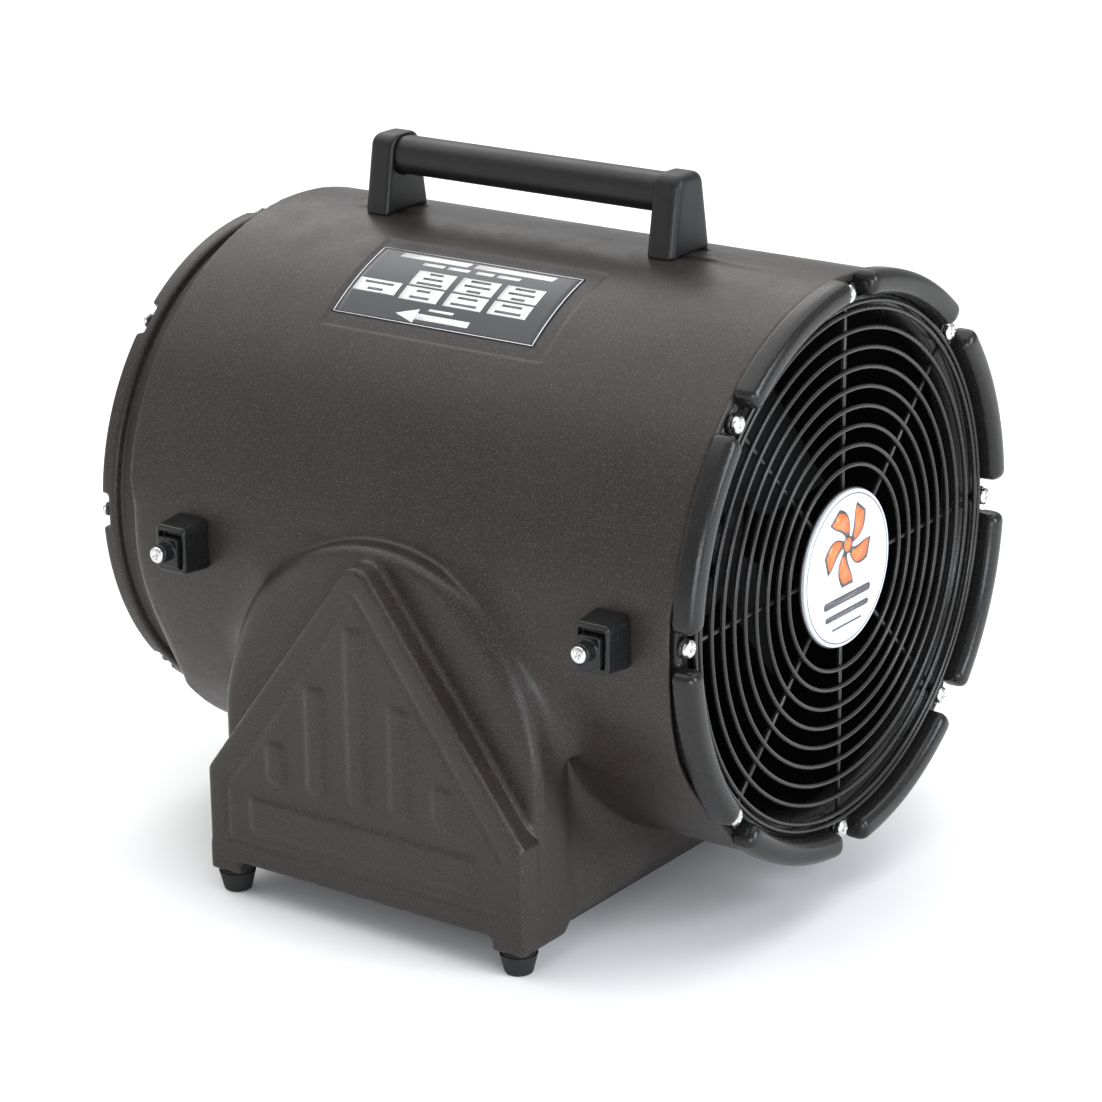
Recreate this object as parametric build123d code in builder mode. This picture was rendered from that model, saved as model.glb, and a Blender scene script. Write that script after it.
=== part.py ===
"""Portable barrel-shaped axial air mover for a 12 inch flexible duct.

Frame: millimetres, +Z up, origin on the floor under the middle of the machine.
The fan axis runs along X: air enters through the guard at +X and leaves through
the duct collar at -X.  Every separate piece is written to its own STEP file.
"""
import os
from math import cos, radians, sin, sqrt

from build123d import *

# ---------------------------------------------------------------- driving sizes
AXIS_Z = 202.4            # height of the fan axis above the floor
BARREL_R = 169.5          # outside of the moulded barrel
WALL = 5.0                # moulded wall thickness
BARREL_X0 = -183.1        # outlet end of the barrel
BARREL_X1 = 204.0         # seam between the barrel and the intake rim
GAP = 0.2                 # assembly clearance between fitted pieces
SCREW_GAP = 0.15          # clearance round a screw shank

# intake rim: eight bumper lobes with a notch for each guard screw between them
RIM_X1 = 218.3
RIM_R = 172.0
MOUTH_R = 157.0
SPIGOT_X0 = 186.0
NOTCHES = 8
NOTCH_WIDTH = 21.0
SPIGOT_R = BARREL_R - WALL - GAP
LOBE_ROUND = 6.0
LOBE_END_ROUND = 5.0

# inner fan duct and outlet collar
DUCT_R = 146.0
DUCT_WALL = 3.0
COLLAR_X0 = -218.3
COLLAR_INNER_X = -172.0
COLLAR_NECK_R = 150.0
COLLAR_LIP_R = 155.0
LIP_WIDTH = 12.5
LIP_ROUND = 3.0
COLLAR_NOTCH_DEPTH = 5.6

# wire guards
WIRE = 2.8
WELD = 0.3                # how far crossing wires sink into each other
GUARD_SCREW_PCD = 320.0
GUARD_SCREW_R = 2.4
GUARD_SCREW_LENGTH = 15.0
GUARD_HEAD_R = 5.2
GUARD_HEAD_HEIGHT = 4.2
EYELET_R = 6.0
GUARD_RING_FIRST = 59.8
GUARD_RING_PITCH = 11.15
GUARD_RINGS = 9
GUARD_OUTER_RING = 153.3
BADGE_R = 46.0
BADGE_THICKNESS = 2.2
OUTLET_GUARD_X = COLLAR_X0 + COLLAR_NOTCH_DEPTH
OUTLET_SCREW_PCD = 301.0
OUTLET_SCREW_R = 1.9
OUTLET_SCREW_LENGTH = 4.5
OUTLET_HEAD_R = 4.2
OUTLET_HEAD_HEIGHT = 2.6
OUTLET_EYELET_R = 4.2
OUTLET_RING_FIRST = 34.0
OUTLET_RING_PITCH = 11.0
OUTLET_RINGS = 10
OUTLET_OUTER_RING = 143.6
OUTLET_DISC_R = 26.0

# specification label on the left shoulder, angles up from the horizontal
LABEL_RECESS = (48.5, 74.0)
LABEL_RECESS_HALF_X = 78.0
LABEL_RECESS_DEPTH = 0.8
LABEL_ANGLES = (51.7, 71.5)
LABEL_X = -4.0
LABEL_LENGTH = 144.0
LABEL_THICKNESS = 0.4

# pedestal
BASE_X = 11.0             # middle of the pedestal along X
BASE_HALF_X = 113.7
FACE_Y = 184.0            # arched side face
PAD_Y = 200.0             # gable pad on the arched face
BASE_BOTTOM = 21.6
LEG_BOTTOM = 13.6
LEG_X = 22.0
LEG_Y = 40.0
LEG_SLOPE = 8.0
LEG_ROOT_Z = 31.0
ARCH_CENTRE_Z = 110.0
ARCH_RISE = 118.0
BOSS_DEPTH = 34.0         # how far the arched face reaches inwards
SIDE_LEAN = 0.197         # inward lean of the end walls per mm of height
WALL_TOP = 165.0
PAD_SHOULDER_Z = 78.0
PAD_APEX_Z = 229.0
PAD_APEX_ROUND = 12.0
GROOVE_INSET = 13.0
GROOVE_WIDTH = 3.0
GROOVE_DEPTH = 1.6
RIB_RISE = 1.6            # plain ribs on the gable pad
RIB_WIDTH = 12.0
RIB_SPACING = 30.0
RIBS_EACH_SIDE = 2
RIB_FOOT_Z = 80.0
RIB_MARGIN = 10.0
RIB_ROUND = 3.0
BAR_FOOT_Z = 46.0
BAR_HEIGHT = 20.0
BAR_HALF_X = 80.0
SHOULDER_DROP = 0.5       # how far the gable's shoulder and apex drop per mm of inset
APEX_DROP = 1.65
FOOT_TOP_R = 11.0
FOOT_BOTTOM_R = 8.0
FOOT_INSET = 11.0
FOOT_RECESS_R = 5.0
FOOT_RECESS_Z = 6.0
FOOT_SCREW_R = 2.4
FOOT_SCREW_DEPTH = 14.0
PLATE_THICKNESS = 4.0
PLATE_HALF_X = 110.0
PLATE_HALF_Y = 190.0
PLATE_SCREW_R = 2.0
PLATE_SCREW_DEPTH = 14.0
PLATE_SCREW_Y = 184.5
PLATE_HEAD = (3.6, 2.2)    # screw head radius and height
FOOT_HEAD = (4.4, 2.8)

# carry handle
POST_X = (95.0, -109.0)
POST_LENGTH = 18.0
POST_FOOT_HALF = 20.4
POST_TOP_HALF = 12.6
POST_TOP_Z = 417.8
GRIP_WIDTH = 23.0
GRIP_HEIGHT = 22.5
GRIP_Z = 404.8
GRIP_ROUND = 9.5
GRIP_SOCKET = 8.0
POST_ROUND = 8.0
BOLT_Y = 10.0
HANDLE_BOLT_R = 3.0
HANDLE_HEAD_R = 5.5
HANDLE_HEAD_HEIGHT = 3.5
HANDLE_BOLT_LENGTH = 25.0
HANDLE_BOLT_REACH = 33.0

# hook posts for the duct carrier straps
HOOK_X = (164.6, -133.3)
HOOK_BASE = (26.0, 32.0)
HOOK_FACE = (22.0, 28.0)
HOOK_FACE_Y = 188.5
HOOK_STUD_R = 5.8
HOOK_STUD_Y = 199.4
HOOK_HEAD_R = 4.8
HOOK_TIP_Y = 201.9
HOOK_ROOT_Y = 165.0
HOOK_POCKET = 4.0
HOOK_BLOCK = (14.5, 17.5)
HOOK_BLOCK_RISE = 2.8
HOOK_SCREW_R = 1.75
HOOK_SCREW_LENGTH = 12.0

# motor
MOTOR_R = 62.0
MOTOR_X0 = -78.0
MOTOR_X1 = 46.0
COVER_LENGTH = 22.0
FINS = 24
FIN_HEIGHT = 5.0
FIN_THICKNESS = 3.0
STATOR_R = 52.0
STATOR_X0 = -44.0
STATOR_LENGTH = 56.0
ROTOR_R = 33.0
AIR_GAP = 0.4
SHAFT_R = 8.0
SHAFT_SHOULDER_R = 11.0
THREAD_R = 6.0
SHAFT_X1 = 122.0
BEARING_R = 20.0
BEARING_WIDTH = 14.0
RUNNING_FIT = 0.05
ARM_ANGLES = (45, 135, 225, 315)
ARM_THICKNESS = 5.0
ARM_FOOT_WIDTH = 36.0
ARM_FOOT_HEIGHT = 8.0
ARM_X0 = -52.0
ARM_X1 = 8.0
ARM_BOLT_ASIDE = 11.0
ARM_BOLT_R = 3.0
ARM_BOLT_LENGTH = 14.0
ARM_HEAD = (5.5, 4.0)

# impeller
HUB_R = 58.0
HUB_X0 = 76.0
HUB_X1 = 104.0
HUB_PLATE = 4.0
HUB_RIM = 5.0
BUSH_R = 17.0
HUB_BOLT_CIRCLE_R = 36.0
HUB_BOLT_R = 2.5
HUB_HEAD = (4.6, 3.5)
NUT_R = 11.0
NUT_LENGTH = 10.0
WASHER_R = 14.0
WASHER_THICKNESS = 2.5
BLADES = 7
BLADE_ROOT_R = 7.0
BLADE_TIP_R = 142.6
BLADE_THICKNESS = 4.5
BLADE_CAMBER = 8.0
BLADE_STATIONS = ((66.0, 48.0, 54.0), (104.0, 57.0, 68.0), (152.0, 65.0, 76.0))

# wiring inside the pedestal
CONDUIT_ANGLE = 300.0
CONDUIT_X = -67.0
CONDUIT_R = 6.5
CONDUIT_END_R = 176.0
CAPACITOR_X0 = 30.0
CAPACITOR_Y = 150.0
CAPACITOR_R = 17.0
CAPACITOR_LENGTH = 62.0
TERMINAL_SPOT = (-30.0, 150.0)
TERMINAL_LENGTH = 50.0

# switch panel on the outlet end wall
PANEL_X = -107.0
PANEL_Y = 138.0
PANEL_Z = 49.0
PANEL_SIZE = (68.0, 42.0)
PANEL_THICKNESS = 3.0
ROCKER_OPENING = (24.0, 30.0)
ROCKER_Y = PANEL_Y + 13.0
GLAND_Y = PANEL_Y - 14.0

PANEL_SCREW_R = 1.75
PANEL_HEAD = (3.0, 2.0)
PANEL_SCREW_HALF_Y = 30.5
PANEL_SCREW_HALF_Z = 16.0
BOSS_THICKNESS = 24.0
ROCKER_WIDTH = 17.0
ROCKER_POCKET = 27.0
ROCKER_TILT = 8.0
PIVOT_R = 1.5
PIVOT_REACH = 10.5
SWITCH_DEPTH = 30.0
GLAND_THREAD_R = 7.8
GLAND_HEX_R = 11.0
GLAND_BORE_R = 4.2
GLAND_INNER_R = 5.2       # wider bore behind the clamped part
GLAND_HEX_LENGTH = 6.0
GLAND_CLAMP_LENGTH = 8.0
GLAND_NUT_LENGTH = 14.0
GLAND_NUT_ROUND = 4.0

os.makedirs("parts", exist_ok=True)

axis_line = Axis((0, 0, AXIS_Z), (1, 0, 0))
section_plane = Plane(origin=(0, 0, AXIS_Z), x_dir=(1, 0, 0), z_dir=(0, -1, 0))


def across(x):
    """Plane square to the fan axis at x, its own x pointing to +Y and y to +Z."""
    return Plane(origin=(x, 0, AXIS_Z), x_dir=(0, 1, 0), z_dir=(1, 0, 0))


def radial(angle, radius, x, aside=0.0):
    """Plane facing outwards from the fan axis, its own x along the axis."""
    y, z = cos(radians(angle)), sin(radians(angle))
    origin = (x, radius * y - aside * z, AXIS_Z + radius * z + aside * y)
    return Plane(origin=origin, x_dir=(1, 0, 0), z_dir=(0, y, z))


def turned(plane, angle):
    """The same plane with its own x turned by an angle about its normal."""
    a = radians(angle)
    return Plane(origin=plane.origin, x_dir=plane.x_dir * cos(a) + plane.y_dir * sin(a),
                 z_dir=plane.z_dir)


def inward(angle, radius, x, aside):
    """Plane set aside from a point on the wheel, facing the fan axis."""
    outward = radial(angle, radius, x, aside)
    return Plane(origin=outward.origin, x_dir=(1, 0, 0), z_dir=-outward.z_dir)


def wheel_spot(angle, radius, x, out):
    """Plane at a point on the wheel, facing along the fan axis (out is 1 or -1)."""
    y, z = cos(radians(angle)), sin(radians(angle))
    return Plane(origin=(x, radius * y, AXIS_Z + radius * z), z_dir=(out, 0, 0))


def around(angle):
    """Plane through the fan axis, its own y pointing out at an angle above the left side."""
    a = radians(angle)
    return Plane(origin=(0, 0, AXIS_Z), x_dir=(1, 0, 0), z_dir=(0, -sin(a), -cos(a)))


def grip_plane(x):
    """Plane square to the handle grip at x, centred on the grip."""
    return Plane(origin=(x, 0, GRIP_Z), x_dir=(0, 1, 0), z_dir=(1, 0, 0))


def flank(x, side, y):
    """Plane on the left (-1) or right (1) flank facing outwards at height of the axis."""
    return Plane(origin=(x, side * y, AXIS_Z), x_dir=(-side, 0, 0), z_dir=(0, side, 0))


def save(piece, name):
    """Label one finished piece and write its STEP file."""
    piece.part.label = name
    export_step(piece.part, f"parts/{name}.step")


def arch():
    """Draw the upright arch of a side face: straight sides under half an ellipse."""
    with Locations((BASE_X, (BASE_BOTTOM + ARCH_CENTRE_Z) / 2)):
        Rectangle(2 * BASE_HALF_X, ARCH_CENTRE_Z - BASE_BOTTOM)
    with Locations((BASE_X, ARCH_CENTRE_Z)):
        Ellipse(BASE_HALF_X, ARCH_RISE)


def gable(inset, bottom):
    """Draw the five-cornered gable outline, moved inwards by inset."""
    half = BASE_HALF_X - inset
    shoulder = PAD_SHOULDER_Z - SHOULDER_DROP * inset
    apex = PAD_APEX_Z - APEX_DROP * inset
    Polyline((BASE_X - half, bottom), (BASE_X + half, bottom), (BASE_X + half, shoulder),
             (BASE_X, apex), (BASE_X - half, shoulder), close=True)


def pad_ribs():
    """Draw upright ribs that follow the gable, over one level bar."""
    inset = GROOVE_INSET + GROOVE_WIDTH
    apex = PAD_APEX_Z - APEX_DROP * inset
    fall = (apex - PAD_SHOULDER_Z + SHOULDER_DROP * inset) / (BASE_HALF_X - inset)
    for number in range(-RIBS_EACH_SIDE, RIBS_EACH_SIDE + 1):
        aside = RIB_SPACING * number
        rib_top = apex - fall * (abs(aside) + RIB_WIDTH / 2) - RIB_MARGIN
        with Locations((BASE_X + aside, (RIB_FOOT_Z + rib_top) / 2)):
            RectangleRounded(RIB_WIDTH, rib_top - RIB_FOOT_Z, RIB_ROUND)
    with Locations((BASE_X, BAR_FOOT_Z + BAR_HEIGHT / 2)):
        RectangleRounded(2 * BAR_HALF_X, BAR_HEIGHT, RIB_ROUND)


# ---------------------------------------------------------------- housing shell
upright = Plane(origin=(0, 0, 0), x_dir=(1, 0, 0), z_dir=(0, -1, 0))
panel_plane = Plane(origin=(PANEL_X, 0, PANEL_Z), x_dir=(0, -1, 0), z_dir=(-1, 0, 0))
pivot_plane = Plane(origin=(PANEL_X - PANEL_THICKNESS + 1, ROCKER_Y, PANEL_Z),
                    x_dir=(1, 0, 0), z_dir=(0, -1, 0))
notch_angles = [360 / NOTCHES * i for i in range(NOTCHES)]
lean_top = BASE_HALF_X - SIDE_LEAN * (WALL_TOP - BASE_BOTTOM)
cavity_top = lean_top - WALL
foot_spots = [(BASE_X + sx * (BASE_HALF_X - FOOT_INSET), sy * (PAD_Y - FOOT_INSET))
              for sx in (-1, 1) for sy in (-1, 1)]
plate_screw_spots = [(BASE_X + dx, side * PLATE_SCREW_Y) for dx in (-70, 0, 70) for side in (-1, 1)]
panel_screw_spots = [(-PANEL_Y + sy * PANEL_SCREW_HALF_Y, sz * PANEL_SCREW_HALF_Z)
                     for sy in (-1, 1) for sz in (-1, 1)]
arm_bolt_x = (ARM_X0 + 12, ARM_X1 - 12)

with BuildPart() as housing_shell:
    # end walls of the pedestal, leaning inwards up to the barrel
    with BuildSketch(upright):
        with BuildLine():
            Polyline((BASE_X - BASE_HALF_X, BASE_BOTTOM), (BASE_X + BASE_HALF_X, BASE_BOTTOM),
                     (BASE_X + lean_top, WALL_TOP), (BASE_X - lean_top, WALL_TOP), close=True)
        make_face()
    extrude(amount=FACE_Y - 10, both=True)
    # arched side faces
    for side in (-1, 1):
        with BuildSketch(upright.offset(side * FACE_Y)):
            arch()
            with Locations((BASE_X, 0)):
                Rectangle(3 * BASE_HALF_X, 2 * BASE_BOTTOM, mode=Mode.SUBTRACT)
        extrude(amount=-side * BOSS_DEPTH)
    face_edges = housing_shell.edges().group_by(Axis.Y)
    fillet([e for e in face_edges[0] + face_edges[-1]
            if e.center().Z > ARCH_CENTRE_Z], radius=7)
    # hollow inside, open at the bottom
    with BuildSketch(upright):
        with BuildLine():
            Polyline((BASE_X - BASE_HALF_X + WALL, 0), (BASE_X + BASE_HALF_X - WALL, 0),
                     (BASE_X + BASE_HALF_X - WALL, BASE_BOTTOM),
                     (BASE_X + cavity_top, WALL_TOP), (BASE_X - cavity_top, WALL_TOP),
                     (BASE_X - BASE_HALF_X + WALL, BASE_BOTTOM), close=True)
        make_face()
    extrude(amount=FACE_Y - WALL, both=True, mode=Mode.SUBTRACT)
    # gable pads with an engraved outline
    for side in (-1, 1):
        with BuildSketch(upright.offset(-side * FACE_Y)):
            with BuildLine():
                gable(0, BASE_BOTTOM)
            make_face()
            fillet(vertices().sort_by(Axis.Y)[-1], radius=PAD_APEX_ROUND)
        extrude(amount=-side * (PAD_Y - FACE_Y))
    pad_faces = housing_shell.faces().filter_by(Axis.Y).group_by(Axis.Y)
    pad_rims = pad_faces[0][0].outer_wire().edges() + pad_faces[-1][0].outer_wire().edges()
    fillet([e for e in pad_rims if e.center().Z > BASE_BOTTOM + 1], radius=3)
    for side in (-1, 1):
        with BuildSketch(upright.offset(-side * PAD_Y)):
            with BuildLine():
                gable(GROOVE_INSET, BASE_BOTTOM + GROOVE_INSET)
            make_face()
            with BuildLine():
                gable(GROOVE_INSET + GROOVE_WIDTH, BASE_BOTTOM + GROOVE_INSET + GROOVE_WIDTH)
            make_face(mode=Mode.SUBTRACT)
        extrude(amount=side * GROOVE_DEPTH, mode=Mode.SUBTRACT)
        with BuildSketch(upright.offset(-side * PAD_Y)):
            pad_ribs()
        extrude(amount=-side * RIB_RISE)
    # four corner legs with a sloping inner end
    for x0 in (BASE_X - BASE_HALF_X, BASE_X + BASE_HALF_X - LEG_X):
        for side in (-1, 1):
            with BuildSketch(Plane(origin=(x0, 0, 0), x_dir=(0, 1, 0), z_dir=(1, 0, 0))):
                with BuildLine():
                    Polyline((side * PAD_Y, LEG_ROOT_Z), (side * PAD_Y, LEG_BOTTOM),
                             (side * (PAD_Y - LEG_Y), LEG_BOTTOM),
                             (side * (PAD_Y - LEG_Y - LEG_SLOPE), BASE_BOTTOM),
                             (side * (PAD_Y - LEG_Y - LEG_SLOPE), LEG_ROOT_Z), close=True)
                make_face()
            extrude(amount=LEG_X)
    # flat boss for the switch panel on the outlet end wall
    with Locations((PANEL_X + BOSS_THICKNESS / 2, PANEL_Y, PANEL_Z)):
        Box(BOSS_THICKNESS, PANEL_SIZE[0] + 6, PANEL_SIZE[1] + 6)
    # barrel with its inward end wall at the outlet
    with BuildSketch(across(BARREL_X0)):
        Circle(BARREL_R)
    extrude(amount=BARREL_X1 - BARREL_X0)
    with BuildSketch(across(BARREL_X0 + WALL)):
        Circle(BARREL_R - WALL)
    extrude(amount=BARREL_X1 - BARREL_X0, mode=Mode.SUBTRACT)
    with BuildSketch(across(BARREL_X0)):
        Circle(COLLAR_NECK_R + GAP)
    extrude(amount=WALL, mode=Mode.SUBTRACT)
    # shallow recess for the specification label
    with BuildSketch(around(LABEL_RECESS[1])):
        with Locations((0, BARREL_R)):
            Rectangle(2 * LABEL_RECESS_HALF_X, 2 * LABEL_RECESS_DEPTH)
    revolve(axis=axis_line, revolution_arc=LABEL_RECESS[1] - LABEL_RECESS[0], mode=Mode.SUBTRACT)
    # screw holes: handle bolts, plate screws, foot screws, switch panel
    for x in POST_X:
        with Locations((x, -BOLT_Y, POST_TOP_Z - 40), (x, BOLT_Y, POST_TOP_Z - 40)):
            Cylinder(HANDLE_BOLT_R + SCREW_GAP, 60, mode=Mode.SUBTRACT)
    with Locations(*[(x, y, BASE_BOTTOM) for x, y in plate_screw_spots]):
        Cylinder(PLATE_SCREW_R + SCREW_GAP, 2 * PLATE_SCREW_DEPTH, mode=Mode.SUBTRACT)
    with Locations(*[(x, y, LEG_BOTTOM) for x, y in foot_spots]):
        Cylinder(FOOT_SCREW_R + SCREW_GAP, 2 * FOOT_SCREW_DEPTH, mode=Mode.SUBTRACT)
    with BuildSketch(panel_plane):
        with Locations((-ROCKER_Y, 0)):
            Rectangle(ROCKER_OPENING[0], ROCKER_OPENING[1])
        with Locations((-GLAND_Y, 0)):
            Circle(GLAND_THREAD_R + GAP)
        with Locations(*panel_screw_spots):
            Circle(PANEL_SCREW_R + SCREW_GAP)
    extrude(amount=-BOSS_THICKNESS, mode=Mode.SUBTRACT)
    # passage for the wiring conduit
    with BuildSketch(radial(CONDUIT_ANGLE, DUCT_R, CONDUIT_X)):
        Circle(CONDUIT_R + GAP)
    extrude(amount=BARREL_R - DUCT_R + 5, mode=Mode.SUBTRACT)
save(housing_shell, "housing_shell")

# ---------------------------------------------------------------- intake rim
with BuildPart() as intake_rim:
    with BuildSketch(section_plane):
        with Locations(((BARREL_X1 + RIM_X1) / 2, (MOUTH_R + RIM_R) / 2)):
            Rectangle(RIM_X1 - BARREL_X1, RIM_R - MOUTH_R)
        fillet(vertices().group_by(Axis.X)[-1], radius=LOBE_ROUND)
    revolve(axis=axis_line)
    with BuildSketch(across(BARREL_X1)):
        with PolarLocations((MOUTH_R + RIM_R) / 2, NOTCHES):
            Rectangle(2 * (RIM_R - MOUTH_R), NOTCH_WIDTH)
    extrude(amount=RIM_X1 - BARREL_X1, mode=Mode.SUBTRACT)
    notch_faces = [f for f in intake_rim.faces() if f.geom_type == GeomType.PLANE
                   and abs(f.normal_at().X) < 0.01]
    fillet([e for f in notch_faces for e in f.edges() if e.center().X > BARREL_X1 + 1],
           radius=LOBE_END_ROUND)
    # spigot inside the barrel, flaring from the fan duct to the mouth
    with BuildSketch(section_plane):
        with BuildLine():
            flare = Polyline((SPIGOT_X0, DUCT_R), (SPIGOT_X0, SPIGOT_R), (BARREL_X1, SPIGOT_R),
                             (BARREL_X1, MOUTH_R))
            TangentArc(flare @ 1, (SPIGOT_X0, DUCT_R), tangent=(-0.15, -1))
        make_face()
    revolve(axis=axis_line)
    with BuildSketch(across(BARREL_X1)):
        with PolarLocations(GUARD_SCREW_PCD / 2, NOTCHES):
            Circle(GUARD_SCREW_R + SCREW_GAP)
    extrude(amount=-GUARD_SCREW_LENGTH, mode=Mode.SUBTRACT)
save(intake_rim, "intake_rim")

# ---------------------------------------------------------------- outlet collar and fan duct
with BuildPart() as outlet_collar:
    with BuildSketch(section_plane):
        with Locations(((COLLAR_X0 + COLLAR_INNER_X) / 2, (DUCT_R + COLLAR_NECK_R) / 2)):
            Rectangle(COLLAR_INNER_X - COLLAR_X0, COLLAR_NECK_R - DUCT_R)
        with Locations((COLLAR_X0 + LIP_WIDTH / 2, (DUCT_R + COLLAR_LIP_R) / 2)):
            Rectangle(LIP_WIDTH, COLLAR_LIP_R - DUCT_R)
        fillet(vertices().group_by(Axis.Y)[-1], radius=LIP_ROUND)
    revolve(axis=axis_line)
    with BuildSketch(across(COLLAR_X0)):
        with PolarLocations(COLLAR_LIP_R, NOTCHES):
            Rectangle(4 * (COLLAR_LIP_R - DUCT_R), NOTCH_WIDTH)
    extrude(amount=COLLAR_NOTCH_DEPTH, mode=Mode.SUBTRACT)
    with BuildSketch(across(OUTLET_GUARD_X)):
        with PolarLocations(OUTLET_SCREW_PCD / 2, NOTCHES):
            Circle(OUTLET_SCREW_R + SCREW_GAP)
    extrude(amount=OUTLET_SCREW_LENGTH, mode=Mode.SUBTRACT)
save(outlet_collar, "outlet_collar")

with BuildPart() as fan_duct:
    with BuildSketch(across(COLLAR_INNER_X)):
        Circle(DUCT_R + DUCT_WALL)
        Circle(DUCT_R, mode=Mode.SUBTRACT)
    extrude(amount=SPIGOT_X0 - COLLAR_INNER_X)
    for angle in ARM_ANGLES:
        for x in arm_bolt_x:
            with BuildSketch(radial(angle, DUCT_R - 5, x, ARM_BOLT_ASIDE)):
                Circle(ARM_BOLT_R + SCREW_GAP)
            extrude(amount=DUCT_WALL + 10, mode=Mode.SUBTRACT)
    with BuildSketch(radial(CONDUIT_ANGLE, DUCT_R - 5, CONDUIT_X)):
        Circle(CONDUIT_R + GAP)
    extrude(amount=DUCT_WALL + 10, mode=Mode.SUBTRACT)
save(fan_duct, "fan_duct")


# ---------------------------------------------------------------- wire guards
def wire_guard(seat_x, outward, rings, outer_ring, disc_r, eye_pcd, eye_r, hole_r):
    """Make a guard of concentric rings on radial spokes with an eyelet at each spoke end."""
    spoke_x = seat_x + outward * WIRE / 2
    ring_x = seat_x + outward * (1.5 * WIRE - WELD)
    with BuildPart() as guard:
        with BuildSketch(section_plane):
            with Locations(*[(ring_x, r) for r in rings + [outer_ring]]):
                RegularPolygon(WIRE / 2, 8, major_radius=False, rotation=22.5)
        revolve(axis=axis_line)
        for angle in notch_angles:
            with BuildSketch(radial(angle, disc_r - 15, spoke_x)):
                Rectangle(WIRE, WIRE)
            extrude(amount=eye_pcd / 2 - disc_r + 15 - hole_r - 1)
        with BuildSketch(across(seat_x)):
            with PolarLocations(eye_pcd / 2, NOTCHES):
                Circle(eye_r)
            with PolarLocations(eye_pcd / 2, NOTCHES):
                Circle(hole_r, mode=Mode.SUBTRACT)
        extrude(amount=outward * WIRE)
        with BuildSketch(across(seat_x + outward * (WIRE - 2 * WELD))):
            Circle(disc_r)
        extrude(amount=outward * WIRE / 2)
    return guard


intake_rings = [GUARD_RING_FIRST + GUARD_RING_PITCH * i for i in range(GUARD_RINGS)]
intake_guard = wire_guard(BARREL_X1, 1, intake_rings, GUARD_OUTER_RING, BADGE_R + 0.8,
                          GUARD_SCREW_PCD, EYELET_R, GUARD_SCREW_R + SCREW_GAP)
save(intake_guard, "intake_guard")

outlet_rings = [OUTLET_RING_FIRST + OUTLET_RING_PITCH * i for i in range(OUTLET_RINGS)]
outlet_guard = wire_guard(OUTLET_GUARD_X, -1, outlet_rings, OUTLET_OUTER_RING, OUTLET_DISC_R,
                          OUTLET_SCREW_PCD, OUTLET_EYELET_R, OUTLET_SCREW_R + SCREW_GAP)
save(outlet_guard, "outlet_guard")

badge_x = BARREL_X1 + 1.5 * WIRE - 2 * WELD
with BuildPart() as hub_badge:
    with BuildSketch(across(badge_x)):
        Circle(BADGE_R)
    extrude(amount=BADGE_THICKNESS)
    fillet(hub_badge.edges().sort_by(Axis.X)[-1], radius=1.0)
save(hub_badge, "hub_badge")


# ---------------------------------------------------------------- screws
def pan_screw(head_r, head_height, shank_r, length):
    """Make a cross-recessed pan-head screw: head above z = 0, shank below it."""
    with BuildPart() as screw:
        Cylinder(head_r, head_height, align=(Align.CENTER, Align.CENTER, Align.MIN))
        fillet(screw.edges().sort_by(Axis.Z)[-1], radius=0.6 * head_height)
        with BuildSketch(Plane.XY.offset(head_height)):
            Rectangle(1.1 * head_r, 0.22 * head_r)
            Rectangle(0.22 * head_r, 1.1 * head_r)
        extrude(amount=-0.5 * head_height, mode=Mode.SUBTRACT)
        Cylinder(shank_r, length, align=(Align.CENTER, Align.CENTER, Align.MAX))
    return screw.part


def hex_bolt(head_r, head_height, shank_r, length):
    """Make a hexagon-head bolt: head above z = 0, shank below it."""
    with BuildPart() as bolt:
        with BuildSketch():
            RegularPolygon(head_r, 6)
        extrude(amount=head_height)
        Cylinder(shank_r, length, align=(Align.CENTER, Align.CENTER, Align.MAX))
    return bolt.part


with BuildPart() as intake_guard_screws:
    with Locations(*[wheel_spot(a, GUARD_SCREW_PCD / 2, BARREL_X1 + WIRE, 1) for a in notch_angles]):
        add(pan_screw(GUARD_HEAD_R, GUARD_HEAD_HEIGHT, GUARD_SCREW_R, GUARD_SCREW_LENGTH))
save(intake_guard_screws, "intake_guard_screws")

with BuildPart() as outlet_guard_screws:
    with Locations(*[wheel_spot(a, OUTLET_SCREW_PCD / 2, OUTLET_GUARD_X - WIRE, -1)
                     for a in notch_angles]):
        add(pan_screw(OUTLET_HEAD_R, OUTLET_HEAD_HEIGHT, OUTLET_SCREW_R, OUTLET_SCREW_LENGTH + 1.5))
save(outlet_guard_screws, "outlet_guard_screws")

# ---------------------------------------------------------------- specification label
with BuildPart() as spec_label:
    with BuildSketch(around(LABEL_ANGLES[1])):
        with Locations((LABEL_X, BARREL_R - LABEL_RECESS_DEPTH + LABEL_THICKNESS / 2)):
            Rectangle(LABEL_LENGTH, LABEL_THICKNESS)
    revolve(axis=axis_line, revolution_arc=LABEL_ANGLES[1] - LABEL_ANGLES[0])
save(spec_label, "spec_label")

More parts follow.
